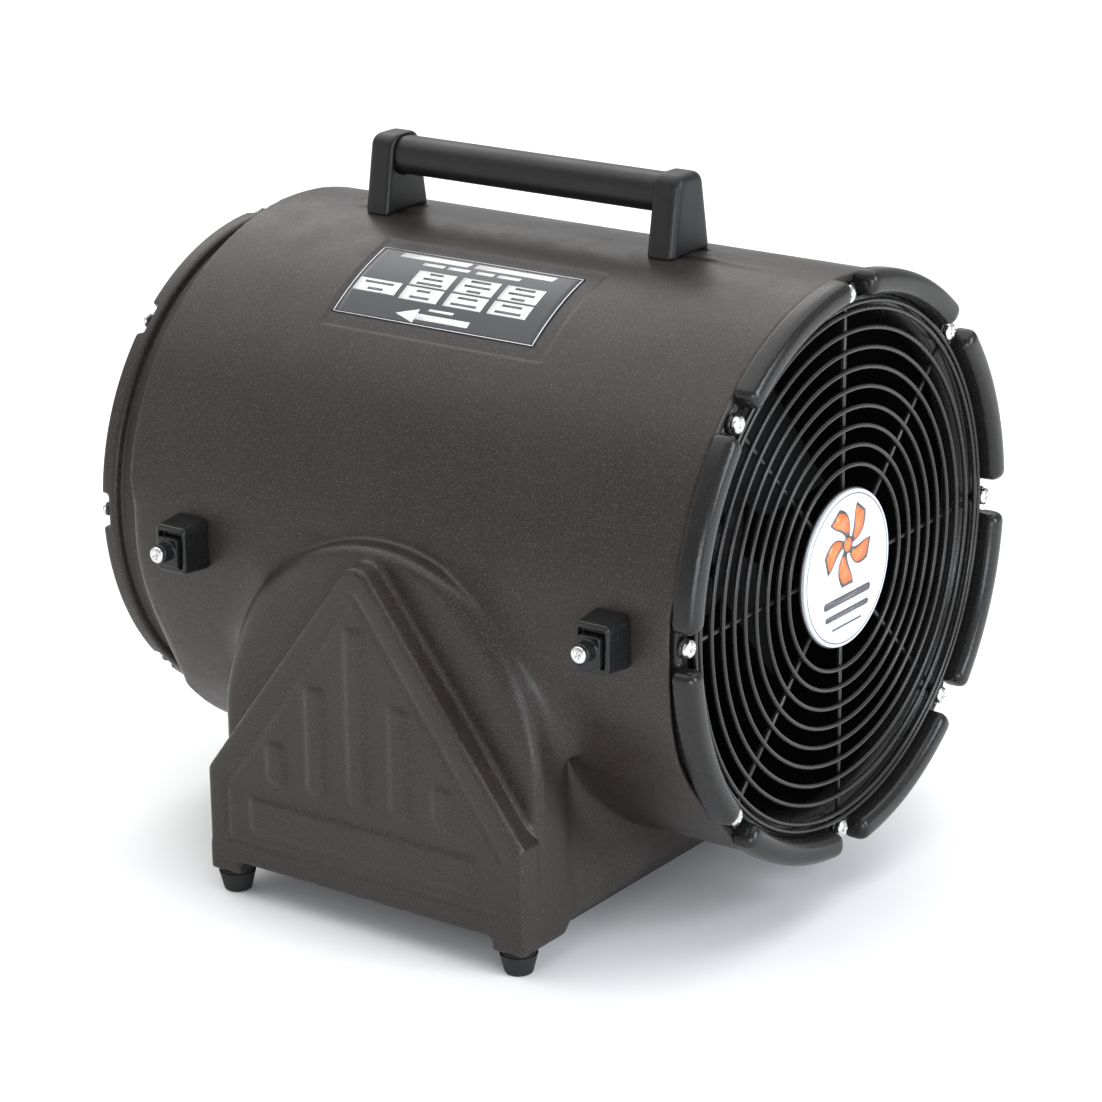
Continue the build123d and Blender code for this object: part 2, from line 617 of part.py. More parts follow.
# ---------------------------------------------------------------- carry handle
post_slope = (POST_FOOT_HALF - POST_TOP_HALF) / (POST_TOP_Z - AXIS_Z - BARREL_R)
post_root_z = AXIS_Z + BARREL_R - 8
post_root_half = POST_FOOT_HALF + 8 * post_slope
for x, name in zip(POST_X, ("handle_post_front", "handle_post_rear")):
    inner = -1 if x > 0 else 1
    with BuildPart() as handle_post:
        with BuildSketch(Plane(origin=(x - POST_LENGTH / 2, 0, 0), x_dir=(0, 1, 0), z_dir=(1, 0, 0))):
            with BuildLine():
                Polyline((-post_root_half, post_root_z), (post_root_half, post_root_z),
                         (POST_TOP_HALF, POST_TOP_Z), (-POST_TOP_HALF, POST_TOP_Z), close=True)
            make_face()
            fillet(vertices().group_by(Axis.Y)[-1], radius=POST_ROUND)
        extrude(amount=POST_LENGTH)
        outer_face = handle_post.faces().sort_by(Axis.X)[0 if inner == 1 else -1]
        fillet(outer_face.edges().filter_by(lambda e: e.center().Z > post_root_z + 1), radius=5)
        inner_face = handle_post.faces().filter_by(Axis.X).sort_by(Axis.X)[-1 if inner == 1 else 0]
        fillet(inner_face.edges().filter_by(lambda e: e.center().Z > post_root_z + 1), radius=2.5)
        with BuildSketch(across(x - POST_LENGTH)):
            Circle(BARREL_R)
        extrude(amount=2 * POST_LENGTH, mode=Mode.SUBTRACT)
        with BuildSketch(grip_plane(x + inner * POST_LENGTH / 2)):
            RectangleRounded(GRIP_WIDTH + GAP, GRIP_HEIGHT + GAP, GRIP_ROUND)
        extrude(amount=-inner * GRIP_SOCKET, mode=Mode.SUBTRACT)
        with Locations((x, -BOLT_Y, post_root_z), (x, BOLT_Y, post_root_z)):
            Cylinder(HANDLE_BOLT_R + SCREW_GAP, 2 * HANDLE_BOLT_REACH, mode=Mode.SUBTRACT)
    save(handle_post, name)

grip_x0 = POST_X[1] + POST_LENGTH / 2 - GRIP_SOCKET + GAP
grip_x1 = POST_X[0] - POST_LENGTH / 2 + GRIP_SOCKET - GAP
with BuildPart() as handle_grip:
    with BuildSketch(grip_plane(grip_x0)):
        RectangleRounded(GRIP_WIDTH, GRIP_HEIGHT, GRIP_ROUND)
    extrude(amount=grip_x1 - grip_x0)
save(handle_grip, "handle_grip")

bolt_seat_z = AXIS_Z + sqrt((BARREL_R - WALL) ** 2 - (BOLT_Y + HANDLE_HEAD_R) ** 2)
with BuildPart() as handle_bolts:
    with Locations(*[Plane(origin=(x, y, bolt_seat_z), z_dir=(0, 0, -1))
                     for x in POST_X for y in (-BOLT_Y, BOLT_Y)]):
        add(hex_bolt(HANDLE_HEAD_R, HANDLE_HEAD_HEIGHT, HANDLE_BOLT_R, HANDLE_BOLT_LENGTH))
save(handle_bolts, "handle_bolts")

# ---------------------------------------------------------------- hook posts on both flanks
hook_names = ("hook_post_front_left", "hook_post_rear_left",
              "hook_post_front_right", "hook_post_rear_right")
hook_spots = [(x, side) for side in (-1, 1) for x in HOOK_X]
for (x, side), name in zip(hook_spots, hook_names):
    with BuildPart() as hook_post:
        with BuildSketch(flank(x, side, HOOK_ROOT_Y)):
            RectangleRounded(HOOK_BASE[0], HOOK_BASE[1], 4.5)
        with BuildSketch(flank(x, side, HOOK_FACE_Y)):
            RectangleRounded(HOOK_FACE[0], HOOK_FACE[1], 3.5)
        loft()
        fillet(hook_post.faces().sort_by(Axis.Y)[-1 if side > 0 else 0].edges(), radius=1.5)
        with BuildSketch(flank(x, side, HOOK_FACE_Y)):
            Rectangle(HOOK_FACE[0] - 5, HOOK_FACE[1] - 7)
        extrude(amount=-HOOK_POCKET, mode=Mode.SUBTRACT)
        with BuildSketch(flank(x, side, HOOK_FACE_Y - HOOK_POCKET)):
            with Locations((0, -1)):
                RectangleRounded(HOOK_BLOCK[0], HOOK_BLOCK[1], 2)
        extrude(amount=HOOK_POCKET + HOOK_BLOCK_RISE)
        with BuildSketch(flank(x, side, HOOK_FACE_Y)):
            Circle(HOOK_STUD_R)
        extrude(amount=HOOK_STUD_Y - HOOK_FACE_Y)
        fillet(hook_post.edges().sort_by(Axis.Y)[-1 if side > 0 else 0], radius=0.8)
        with BuildSketch(flank(x, side, HOOK_STUD_Y)):
            Circle(HOOK_SCREW_R + SCREW_GAP)
        extrude(amount=-HOOK_SCREW_LENGTH, mode=Mode.SUBTRACT)
        with BuildSketch(across(x - HOOK_BASE[0])):
            Circle(BARREL_R)
        extrude(amount=2 * HOOK_BASE[0], mode=Mode.SUBTRACT)
    save(hook_post, name)

with BuildPart() as hook_post_screws:
    with Locations(*[flank(x, side, HOOK_STUD_Y) for x, side in hook_spots]):
        add(pan_screw(HOOK_HEAD_R, HOOK_TIP_Y - HOOK_STUD_Y, HOOK_SCREW_R, HOOK_SCREW_LENGTH))
save(hook_post_screws, "hook_post_screws")

# ---------------------------------------------------------------- bottom plate and feet
with BuildPart() as bottom_plate:
    with BuildSketch(Plane.XY.offset(BASE_BOTTOM - PLATE_THICKNESS)):
        with Locations((BASE_X, 0)):
            Rectangle(2 * PLATE_HALF_X, 2 * PLATE_HALF_Y)
        with Locations(*[(BASE_X + sx * BASE_HALF_X, sy * PAD_Y) for sx in (-1, 1) for sy in (-1, 1)]):
            Rectangle(2 * (LEG_X + 0.5), 2 * (LEG_Y + LEG_SLOPE + 0.5), mode=Mode.SUBTRACT)
        with Locations(*plate_screw_spots):
            Circle(PLATE_SCREW_R + SCREW_GAP, mode=Mode.SUBTRACT)
    extrude(amount=PLATE_THICKNESS)
save(bottom_plate, "bottom_plate")

with BuildPart() as bottom_plate_screws:
    with Locations(*[Plane(origin=(x, y, BASE_BOTTOM - PLATE_THICKNESS), z_dir=(0, 0, -1))
                     for x, y in plate_screw_spots]):
        add(pan_screw(*PLATE_HEAD, PLATE_SCREW_R, PLATE_THICKNESS + PLATE_SCREW_DEPTH - 1))
save(bottom_plate_screws, "bottom_plate_screws")

foot_names = ("foot_rear_left", "foot_rear_right", "foot_front_left", "foot_front_right")
for (x, y), name in zip(foot_spots, foot_names):
    with BuildPart() as foot:
        with BuildSketch(Plane(origin=(x, y, 0), x_dir=(1, 0, 0), z_dir=(0, -1, 0))):
            with BuildLine():
                Polyline((FOOT_RECESS_R, 0), (FOOT_BOTTOM_R, 0), (FOOT_TOP_R, LEG_BOTTOM - 1.6),
                         (FOOT_TOP_R - 1.2, LEG_BOTTOM - 1.6), (FOOT_TOP_R - 1.2, LEG_BOTTOM),
                         (FOOT_SCREW_R + SCREW_GAP, LEG_BOTTOM),
                         (FOOT_SCREW_R + SCREW_GAP, FOOT_RECESS_Z),
                         (FOOT_RECESS_R, FOOT_RECESS_Z), close=True)
            make_face()
        revolve(axis=Axis((x, y, 0), (0, 0, 1)))
        fillet(foot.edges().filter_by(GeomType.CIRCLE).group_by(Axis.Z)[0].sort_by(SortBy.RADIUS)[-1],
               radius=1.4)
    save(foot, name)

with BuildPart() as foot_screws:
    with Locations(*[Plane(origin=(x, y, FOOT_RECESS_Z), z_dir=(0, 0, -1)) for x, y in foot_spots]):
        add(pan_screw(*FOOT_HEAD, FOOT_SCREW_R, LEG_BOTTOM - FOOT_RECESS_Z + FOOT_SCREW_DEPTH - 2))
save(foot_screws, "foot_screws")

# ---------------------------------------------------------------- motor
with BuildPart() as motor_frame:
    with BuildSketch(across(MOTOR_X0 + COVER_LENGTH)):
        Circle(MOTOR_R - FIN_HEIGHT)
        with PolarLocations(MOTOR_R - FIN_HEIGHT, FINS):
            Rectangle(2 * FIN_HEIGHT, FIN_THICKNESS)
        Circle(STATOR_R, mode=Mode.SUBTRACT)
    extrude(amount=MOTOR_X1 - MOTOR_X0 - 2 * COVER_LENGTH)
save(motor_frame, "motor_frame")

for seat_x, out, name in ((MOTOR_X1 - COVER_LENGTH, 1, "motor_drive_cover"),
                          (MOTOR_X0 + COVER_LENGTH, -1, "motor_rear_cover")):
    with BuildPart() as motor_cover:
        with BuildSketch(across(seat_x)):
            Circle(MOTOR_R - 1)
        extrude(amount=out * COVER_LENGTH)
        fillet(motor_cover.edges().group_by(Axis.X)[-1 if out > 0 else 0], radius=9)
        with BuildSketch(across(seat_x)):
            Circle(STATOR_R)
        extrude(amount=out * (COVER_LENGTH - BEARING_WIDTH - 3), mode=Mode.SUBTRACT)
        with BuildSketch(across(seat_x)):
            Circle(BEARING_R)
        extrude(amount=out * (COVER_LENGTH - 3), mode=Mode.SUBTRACT)
        with BuildSketch(across(seat_x)):
            Circle(SHAFT_R + 0.6)
        extrude(amount=out * COVER_LENGTH, mode=Mode.SUBTRACT)
    save(motor_cover, name)

bearing_spots = (("drive_end_bearing", MOTOR_X1 - 3 - BEARING_WIDTH), ("rear_bearing", MOTOR_X0 + 3))
for name, x0 in bearing_spots:
    with BuildPart() as bearing:
        with BuildSketch(across(x0)):
            Circle(BEARING_R)
            Circle(SHAFT_R + RUNNING_FIT, mode=Mode.SUBTRACT)
        extrude(amount=BEARING_WIDTH)
        for face_x, into in ((x0, 1), (x0 + BEARING_WIDTH, -1)):
            with BuildSketch(across(face_x)):
                Circle(BEARING_R - 4)
                Circle(SHAFT_R + 4, mode=Mode.SUBTRACT)
            extrude(amount=into * 1.5, mode=Mode.SUBTRACT)
    save(bearing, name)

with BuildPart() as stator_core:
    with BuildSketch(across(STATOR_X0)):
        Circle(STATOR_R)
        Circle(ROTOR_R + AIR_GAP, mode=Mode.SUBTRACT)
    extrude(amount=STATOR_LENGTH)
save(stator_core, "stator_core")

with BuildPart() as rotor_core:
    with BuildSketch(across(STATOR_X0)):
        Circle(ROTOR_R)
        Circle(SHAFT_SHOULDER_R, mode=Mode.SUBTRACT)
    extrude(amount=STATOR_LENGTH)
save(rotor_core, "rotor_core")

with BuildPart() as motor_shaft:
    with BuildSketch(across(MOTOR_X0 + 3.5)):
        Circle(SHAFT_R)
    extrude(amount=HUB_X1 - MOTOR_X0 - 3.5)
    with BuildSketch(across(STATOR_X0)):
        Circle(SHAFT_SHOULDER_R)
    extrude(amount=STATOR_LENGTH)
    with BuildSketch(across(HUB_X1)):
        Circle(THREAD_R)
    extrude(amount=SHAFT_X1 - HUB_X1)
    chamfer(motor_shaft.edges().filter_by(GeomType.CIRCLE).sort_by(Axis.X)[-1], length=1)
save(motor_shaft, "motor_shaft")

for number, angle in enumerate(ARM_ANGLES, start=1):
    with BuildPart() as motor_arm:
        with BuildSketch(radial(angle, MOTOR_R - 2, (ARM_X0 + ARM_X1) / 2)):
            Rectangle(ARM_X1 - ARM_X0, ARM_THICKNESS)
        extrude(amount=DUCT_R - MOTOR_R)
        for foot_r in (MOTOR_R - 4, DUCT_R - ARM_FOOT_HEIGHT):
            with BuildSketch(radial(angle, foot_r, (ARM_X0 + ARM_X1) / 2)):
                Rectangle(ARM_X1 - ARM_X0, ARM_FOOT_WIDTH)
            extrude(amount=12)
        with BuildSketch(across(ARM_X0)):
            Circle(DUCT_R)
            Circle(MOTOR_R, mode=Mode.SUBTRACT)
        extrude(amount=ARM_X1 - ARM_X0, mode=Mode.INTERSECT)
        for x in arm_bolt_x:
            with BuildSketch(radial(angle, MOTOR_R + 20, x, ARM_BOLT_ASIDE)):
                Circle(ARM_BOLT_R + SCREW_GAP)
            extrude(amount=DUCT_R - MOTOR_R - 10, mode=Mode.SUBTRACT)
    save(motor_arm, f"motor_arm_{number}")

with BuildPart() as arm_bolts:
    with Locations(*[inward(angle, DUCT_R - ARM_FOOT_HEIGHT, x, ARM_BOLT_ASIDE)
                     for angle in ARM_ANGLES for x in arm_bolt_x]):
        add(hex_bolt(*ARM_HEAD, ARM_BOLT_R, ARM_BOLT_LENGTH))
save(arm_bolts, "arm_bolts")

# ---------------------------------------------------------------- impeller
blade_angles = [360 / BLADES * i + 12 for i in range(BLADES)]
for x0, out, name in ((HUB_X0, 1, "hub_rear_plate"), (HUB_X1, -1, "hub_front_plate")):
    with BuildPart() as hub_plate:
        with BuildSketch(across(x0)):
            Circle(HUB_R)
        extrude(amount=out * HUB_PLATE)
        with BuildSketch(across(x0)):
            Circle(HUB_R)
            Circle(HUB_R - HUB_RIM, mode=Mode.SUBTRACT)
            Circle(BUSH_R)
        extrude(amount=out * (HUB_X1 - HUB_X0) / 2)
        fillet(hub_plate.edges().group_by(Axis.X)[0 if out > 0 else -1].sort_by(SortBy.RADIUS)[-1],
               radius=3)
        with BuildSketch(across(HUB_X0)):
            Circle(SHAFT_R)
            with PolarLocations(HUB_BOLT_CIRCLE_R, BLADES):
                Circle(HUB_BOLT_R + SCREW_GAP)
        extrude(amount=HUB_X1 - HUB_X0, mode=Mode.SUBTRACT)
        for angle in blade_angles:
            with BuildSketch(radial(angle, HUB_R - HUB_RIM - 5, (HUB_X0 + HUB_X1) / 2)):
                Circle(BLADE_ROOT_R + GAP)
            extrude(amount=HUB_RIM + 10, mode=Mode.SUBTRACT)
    save(hub_plate, name)

for number, angle in enumerate(blade_angles, start=1):
    hub_mid = (HUB_X0 + HUB_X1) / 2
    with BuildPart() as blade:
        for radius, pitch, chord in BLADE_STATIONS:
            with BuildSketch(turned(radial(angle, radius, hub_mid), pitch)):
                with BuildLine():
                    ThreePointArc((-chord / 2, 0), (0, BLADE_CAMBER), (chord / 2, 0))
                    ThreePointArc((-chord / 2, 0), (0, BLADE_CAMBER - BLADE_THICKNESS), (chord / 2, 0))
                make_face()
        loft()
        with BuildSketch(across(hub_mid - 60)):
            Circle(BLADE_TIP_R)
        extrude(amount=120, mode=Mode.INTERSECT)
        with BuildSketch(radial(angle, HUB_R - HUB_RIM - 4, hub_mid)):
            Circle(BLADE_ROOT_R)
        extrude(amount=BLADE_STATIONS[0][0] - HUB_R + HUB_RIM + 6)
    save(blade, f"fan_blade_{number}")

with BuildPart() as hub_bolts:
    with Locations(*[wheel_spot(360 / BLADES * i, HUB_BOLT_CIRCLE_R, HUB_X1, 1) for i in range(BLADES)]):
        add(hex_bolt(*HUB_HEAD, HUB_BOLT_R, HUB_X1 - HUB_X0))
save(hub_bolts, "hub_bolts")

with BuildPart() as shaft_nut:
    with BuildSketch(across(HUB_X1)):
        Circle(WASHER_R)
        Circle(THREAD_R, mode=Mode.SUBTRACT)
    extrude(amount=WASHER_THICKNESS)
    with BuildSketch(across(HUB_X1 + WASHER_THICKNESS)):
        RegularPolygon(NUT_R, 6)
        Circle(THREAD_R, mode=Mode.SUBTRACT)
    extrude(amount=NUT_LENGTH)
save(shaft_nut, "shaft_nut")

# ---------------------------------------------------------------- wiring
with BuildPart() as wiring_conduit:
    with BuildSketch(radial(CONDUIT_ANGLE, MOTOR_R - 1, CONDUIT_X)):
        Circle(CONDUIT_R)
        Circle(CONDUIT_R - 1.2, mode=Mode.SUBTRACT)
    extrude(amount=CONDUIT_END_R - MOTOR_R + 1)
    with BuildSketch(across(CONDUIT_X - 20)):
        Circle(MOTOR_R)
    extrude(amount=40, mode=Mode.SUBTRACT)
save(wiring_conduit, "wiring_conduit")

with BuildPart() as capacitor:
    with BuildSketch(Plane(origin=(CAPACITOR_X0, CAPACITOR_Y, BASE_BOTTOM + CAPACITOR_R),
                           x_dir=(0, 1, 0), z_dir=(1, 0, 0))):
        Circle(CAPACITOR_R)
    extrude(amount=CAPACITOR_LENGTH)
    fillet(capacitor.edges().filter_by(GeomType.CIRCLE), radius=1.5)
save(capacitor, "capacitor")

with BuildPart() as terminal_block:
    with BuildSketch(Plane.XY.offset(BASE_BOTTOM)):
        with Locations(TERMINAL_SPOT):
            Rectangle(TERMINAL_LENGTH, 22)
    extrude(amount=18)
    with BuildSketch(Plane.XY.offset(BASE_BOTTOM + 18)):
        with Locations(TERMINAL_SPOT):
            with GridLocations(TERMINAL_LENGTH / 5, 12, 5, 2):
                Circle(2.6)
    extrude(amount=-5, mode=Mode.SUBTRACT)
save(terminal_block, "terminal_block")

# ---------------------------------------------------------------- switch panel
with BuildPart() as switch_panel:
    with BuildSketch(panel_plane):
        with Locations((-PANEL_Y, 0)):
            RectangleRounded(PANEL_SIZE[0], PANEL_SIZE[1], 4)
        with Locations((-ROCKER_Y, 0)):
            Rectangle(ROCKER_OPENING[0], ROCKER_OPENING[1], mode=Mode.SUBTRACT)
        with Locations((-GLAND_Y, 0)):
            Circle(GLAND_THREAD_R + GAP, mode=Mode.SUBTRACT)
        with Locations(*panel_screw_spots):
            Circle(PANEL_SCREW_R + SCREW_GAP, mode=Mode.SUBTRACT)
    extrude(amount=PANEL_THICKNESS)
save(switch_panel, "switch_panel")

panel_front = PANEL_X - PANEL_THICKNESS
with BuildPart() as panel_screws:
    with Locations(*[Plane(origin=(panel_front, -y, PANEL_Z + z), z_dir=(-1, 0, 0))
                     for y, z in panel_screw_spots]):
        add(pan_screw(*PANEL_HEAD, PANEL_SCREW_R, PANEL_THICKNESS + BOSS_THICKNESS - 2))
save(panel_screws, "panel_screws")

with BuildPart() as switch_body:
    with BuildSketch(panel_plane.offset(PANEL_THICKNESS)):
        with Locations((-ROCKER_Y, 0)):
            RectangleRounded(ROCKER_OPENING[0] + 4, ROCKER_OPENING[1] + 4, 2)
    extrude(amount=2)
    with BuildSketch(panel_plane.offset(PANEL_THICKNESS)):
        with Locations((-ROCKER_Y, 0)):
            Rectangle(ROCKER_OPENING[0] - 2 * GAP, ROCKER_OPENING[1] - 2 * GAP)
    extrude(amount=-SWITCH_DEPTH)
    with BuildSketch(panel_plane.offset(PANEL_THICKNESS + 2)):
        with Locations((-ROCKER_Y, 0)):
            Rectangle(ROCKER_WIDTH + 0.8, ROCKER_POCKET)
    extrude(amount=-10, mode=Mode.SUBTRACT)
    with BuildSketch(pivot_plane):
        Circle(PIVOT_R + RUNNING_FIT)
    extrude(amount=PIVOT_REACH + 0.3, both=True, mode=Mode.SUBTRACT)
save(switch_body, "switch_body")

with BuildPart() as switch_rocker:
    with BuildSketch(turned(pivot_plane, ROCKER_TILT)):
        with BuildLine():
            Polyline((-6.5, -12), (-4.2, 0), (-6.5, 12), (0, 12), (3, 7), (3, -7), (0, -12),
                     close=True)
        make_face()
    extrude(amount=ROCKER_WIDTH / 2, both=True)
    with BuildSketch(pivot_plane):
        Circle(PIVOT_R)
    extrude(amount=PIVOT_REACH, both=True)
save(switch_rocker, "switch_rocker")

gland_clamp_plane = panel_plane.offset(PANEL_THICKNESS + GLAND_HEX_LENGTH)
with BuildPart() as gland_body:
    with BuildSketch(panel_plane.offset(PANEL_THICKNESS)):
        with Locations((-GLAND_Y, 0)):
            RegularPolygon(GLAND_HEX_R, 6)
    extrude(amount=GLAND_HEX_LENGTH)
    with BuildSketch(panel_plane.offset(PANEL_THICKNESS)):
        with Locations((-GLAND_Y, 0)):
            Circle(GLAND_THREAD_R)
    extrude(amount=-PANEL_THICKNESS - BOSS_THICKNESS - 3)
    with BuildSketch(gland_clamp_plane):
        with Locations((-GLAND_Y, 0)):
            Circle(GLAND_THREAD_R)
    extrude(amount=GLAND_CLAMP_LENGTH)
    with BuildSketch(gland_clamp_plane):
        with Locations((-GLAND_Y, 0)):
            Circle(GLAND_BORE_R)
    extrude(amount=GLAND_HEX_LENGTH + GLAND_CLAMP_LENGTH, both=True, mode=Mode.SUBTRACT)
    with BuildSketch(panel_plane.offset(PANEL_THICKNESS - 1)):
        with Locations((-GLAND_Y, 0)):
            Circle(GLAND_INNER_R)
    extrude(amount=-2 * BOSS_THICKNESS, mode=Mode.SUBTRACT)
save(gland_body, "gland_body")

with BuildPart() as gland_nut:
    with BuildSketch(gland_clamp_plane):
        with Locations((-GLAND_Y, 0)):
            Circle(GLAND_HEX_R - 1)
    extrude(amount=GLAND_NUT_LENGTH)
    fillet(gland_nut.edges().group_by(Axis.X)[0], radius=GLAND_NUT_ROUND)
    with BuildSketch(gland_clamp_plane):
        with Locations((-GLAND_Y, 0)):
            Circle(GLAND_THREAD_R)
    extrude(amount=GLAND_CLAMP_LENGTH, mode=Mode.SUBTRACT)
    with BuildSketch(gland_clamp_plane):
        with Locations((-GLAND_Y, 0)):
            Circle(GLAND_BORE_R)
    extrude(amount=GLAND_NUT_LENGTH, mode=Mode.SUBTRACT)
save(gland_nut, "gland_nut")
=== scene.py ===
"""Looks of the portable axial air mover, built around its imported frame.

Metres, +Z up, the fan axis along X at AXIS_Z, air going from the guard at +X to
the duct collar at -X.
"""

from math import cos, pi, radians, sin

import bmesh
import bpy
import numpy as np
from mathutils import Matrix, Vector
from mathutils.kdtree import KDTree


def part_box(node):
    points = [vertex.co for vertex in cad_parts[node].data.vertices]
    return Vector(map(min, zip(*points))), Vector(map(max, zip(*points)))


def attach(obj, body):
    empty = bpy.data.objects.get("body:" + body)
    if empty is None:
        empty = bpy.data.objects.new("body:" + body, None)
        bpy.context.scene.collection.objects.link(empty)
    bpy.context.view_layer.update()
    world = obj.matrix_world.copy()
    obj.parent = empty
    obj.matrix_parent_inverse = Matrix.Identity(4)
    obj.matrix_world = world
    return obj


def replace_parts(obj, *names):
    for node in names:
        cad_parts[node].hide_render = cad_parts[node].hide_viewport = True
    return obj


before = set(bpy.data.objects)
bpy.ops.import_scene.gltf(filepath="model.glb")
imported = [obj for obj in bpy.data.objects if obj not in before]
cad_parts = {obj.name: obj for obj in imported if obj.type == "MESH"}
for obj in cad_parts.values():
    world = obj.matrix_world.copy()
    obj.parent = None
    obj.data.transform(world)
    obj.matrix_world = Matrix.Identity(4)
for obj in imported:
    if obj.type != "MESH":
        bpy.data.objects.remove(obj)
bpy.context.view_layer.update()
scene = bpy.context.scene

MM = 0.001
AXIS_Z = 202.4 * MM
BARREL_R = 169.5 * MM
BARREL_X0 = -183.1 * MM
BARREL_X1 = 204.0 * MM
END_ROUND = 3.0 * MM
CYLINDER_SLACK = 0.12 * MM
WIRE_R = 1.4 * MM
NOTCHES = 8

# pedestal
BASE_X = 11.0 * MM
BASE_HALF_X = 113.7 * MM
BASE_BOTTOM = 21.6 * MM
FACE_Y = 184.0 * MM
SIDE_LEAN = 0.197
ARCH_CENTRE_Z = 110.0 * MM
ARCH_RISE = 118.0 * MM
BLEND_REACH = 32.0 * MM
FACE_SLAB = 34.0 * MM
SLAB_BLEND = 28.0 * MM
SLAB_BLEND_X = 55.0 * MM
SLAB_BLEND_FOOT = 30.0 * MM
SLAB_BLEND_TOP = 235.0 * MM
SLAB_BLEND_FADE = 15.0 * MM
SHELL_VOXEL = 1.5 * MM
ARCH_ROUNDS = 220
SLAB_ROUNDS = 240

# label and its recess
RECESS_ANGLES = (48.5, 74.0)
RECESS_HALF_X = 78.0 * MM
RECESS_DEPTH = 0.8 * MM
RECESS_RAMP = 2.0 * MM
LABEL_ANGLES = (71.5, 51.7)
LABEL_X0 = -76.0 * MM
LABEL_LENGTH = 144.0 * MM
LABEL_R = 169.1 * MM

# guards, screws and badge
GUARD_X = 204.0 * MM
GUARD_RINGS = [(59.8 + 11.15 * i) * MM for i in range(9)] + [153.3 * MM]
GUARD_EYE_R = 160.0 * MM
OUTLET_X = -212.7 * MM
OUTLET_RINGS = [(34.0 + 11.0 * i) * MM for i in range(10)] + [143.6 * MM]
OUTLET_EYE_R = 150.5 * MM
BADGE_X = 209.8 * MM
BADGE_R = 46.0 * MM
SIGN_Y = 0.31
HOOK_X = (164.6 * MM, -133.3 * MM)
HOOK_STUD_Y = 199.4 * MM


# ---------------------------------------------------------------- node materials
class Nodes:
    """A small builder for one material's node tree."""

    def __init__(self, name):
        self.material = bpy.data.materials.new(name)
        self.material.use_nodes = True
        self.tree = self.material.node_tree
        self.shader = self.tree.nodes["Principled BSDF"]
        self.place = self.tree.nodes.new("ShaderNodeTexCoord").outputs["Object"]

    def link(self, source, target):
        self.tree.links.new(source, target)

    def noise(self, scale, detail=3.0, rough=0.55, place=None):
        node = self.tree.nodes.new("ShaderNodeTexNoise")
        node.inputs["Scale"].default_value = scale
        node.inputs["Detail"].default_value = detail
        node.inputs["Roughness"].default_value = rough
        self.link(place or self.place, node.inputs["Vector"])
        return node.outputs["Fac"]

    def stretched(self, factors):
        node = self.tree.nodes.new("ShaderNodeMapping")
        node.inputs["Scale"].default_value = factors
        self.link(self.place, node.inputs["Vector"])
        return node.outputs["Vector"]

    def axis(self, index):
        node = self.tree.nodes.new("ShaderNodeSeparateXYZ")
        self.link(self.place, node.inputs["Vector"])
        return node.outputs[index]

    def span(self, source, low, high, to_low=0.0, to_high=1.0):
        node = self.tree.nodes.new("ShaderNodeMapRange")
        node.inputs["From Min"].default_value = low
        node.inputs["From Max"].default_value = high
        node.inputs["To Min"].default_value = to_low
        node.inputs["To Max"].default_value = to_high
        self.link(source, node.inputs["Value"])
        return node.outputs["Result"]

    def math(self, kind, a, b=0.0):
        node = self.tree.nodes.new("ShaderNodeMath")
        node.operation = kind
        for socket, value in zip(node.inputs, (a, b)):
            if isinstance(value, (int, float)):
                socket.default_value = value
            else:
                self.link(value, socket)
        return node.outputs["Value"]

    def mix(self, factor, a, b):
        node = self.tree.nodes.new("ShaderNodeMix")
        node.data_type = "RGBA"
        self.link(factor, node.inputs["Factor"])
        for socket, value in ((node.inputs[6], a), (node.inputs[7], b)):
            if isinstance(value, tuple):
                socket.default_value = value + (1.0,)
            else:
                self.link(value, socket)
        return node.outputs[2]

    def colour(self, source):
        self.link(source, self.shader.inputs["Base Color"])

    def rough(self, source):
        self.link(source, self.shader.inputs["Roughness"])

    def bump(self, heights):
        """Chain bumps, each given as (height source, strength, distance in metres)."""
        previous = None
        for source, strength, distance in heights:
            node = self.tree.nodes.new("ShaderNodeBump")
            node.inputs["Strength"].default_value = strength
            node.inputs["Distance"].default_value = distance
            self.link(source, node.inputs["Height"])
            if previous:
                self.link(previous, node.inputs["Normal"])
            previous = node.outputs["Normal"]
        self.link(previous, self.shader.inputs["Normal"])


def moulded_plastic(name, colour, fleck, low, high, grain=900.0, strength=0.35, seam=False):
    """Moulded plastic: fine orange peel, pale flecks, and soft wear and haze patches."""
    m = Nodes(name)
    haze = m.span(m.noise(9.0, 4.0, 0.6), 0.35, 0.7)
    specks = m.span(m.noise(1300.0, 2.0, 0.7), 0.54, 0.72)
    tone = m.mix(haze, colour, tuple(1.35 * c for c in colour))
    m.colour(m.mix(m.math("MULTIPLY", specks, 0.75), tone, fleck))
    cloud = m.noise(38.0, 4.0, 0.6)
    m.rough(m.math("ADD", m.span(cloud, 0.3, 0.7, low, high),
                   m.span(m.noise(grain, 2.0), 0.3, 0.7, -0.05, 0.05)))
    heights = [(m.noise(grain, 2.0, 0.6), strength, 0.00012), (m.noise(70.0, 2.0), 0.2, 0.0004)]
    if seam:
        off_line = m.math("ABSOLUTE", m.axis("Y"))
        line = m.span(off_line, 0.0002, 0.0009, 0.0, 1.0)
        above = m.span(m.axis("Z"), 0.30, 0.31, 0.0, 1.0)
        groove = m.math("SUBTRACT", 1.0, m.math("MULTIPLY", m.math("SUBTRACT", 1.0, line), above))
        heights.append((groove, 0.6, 0.0004))
    m.bump(heights)
    m.shader.inputs["Specular IOR Level"].default_value = 0.34
    return m.material


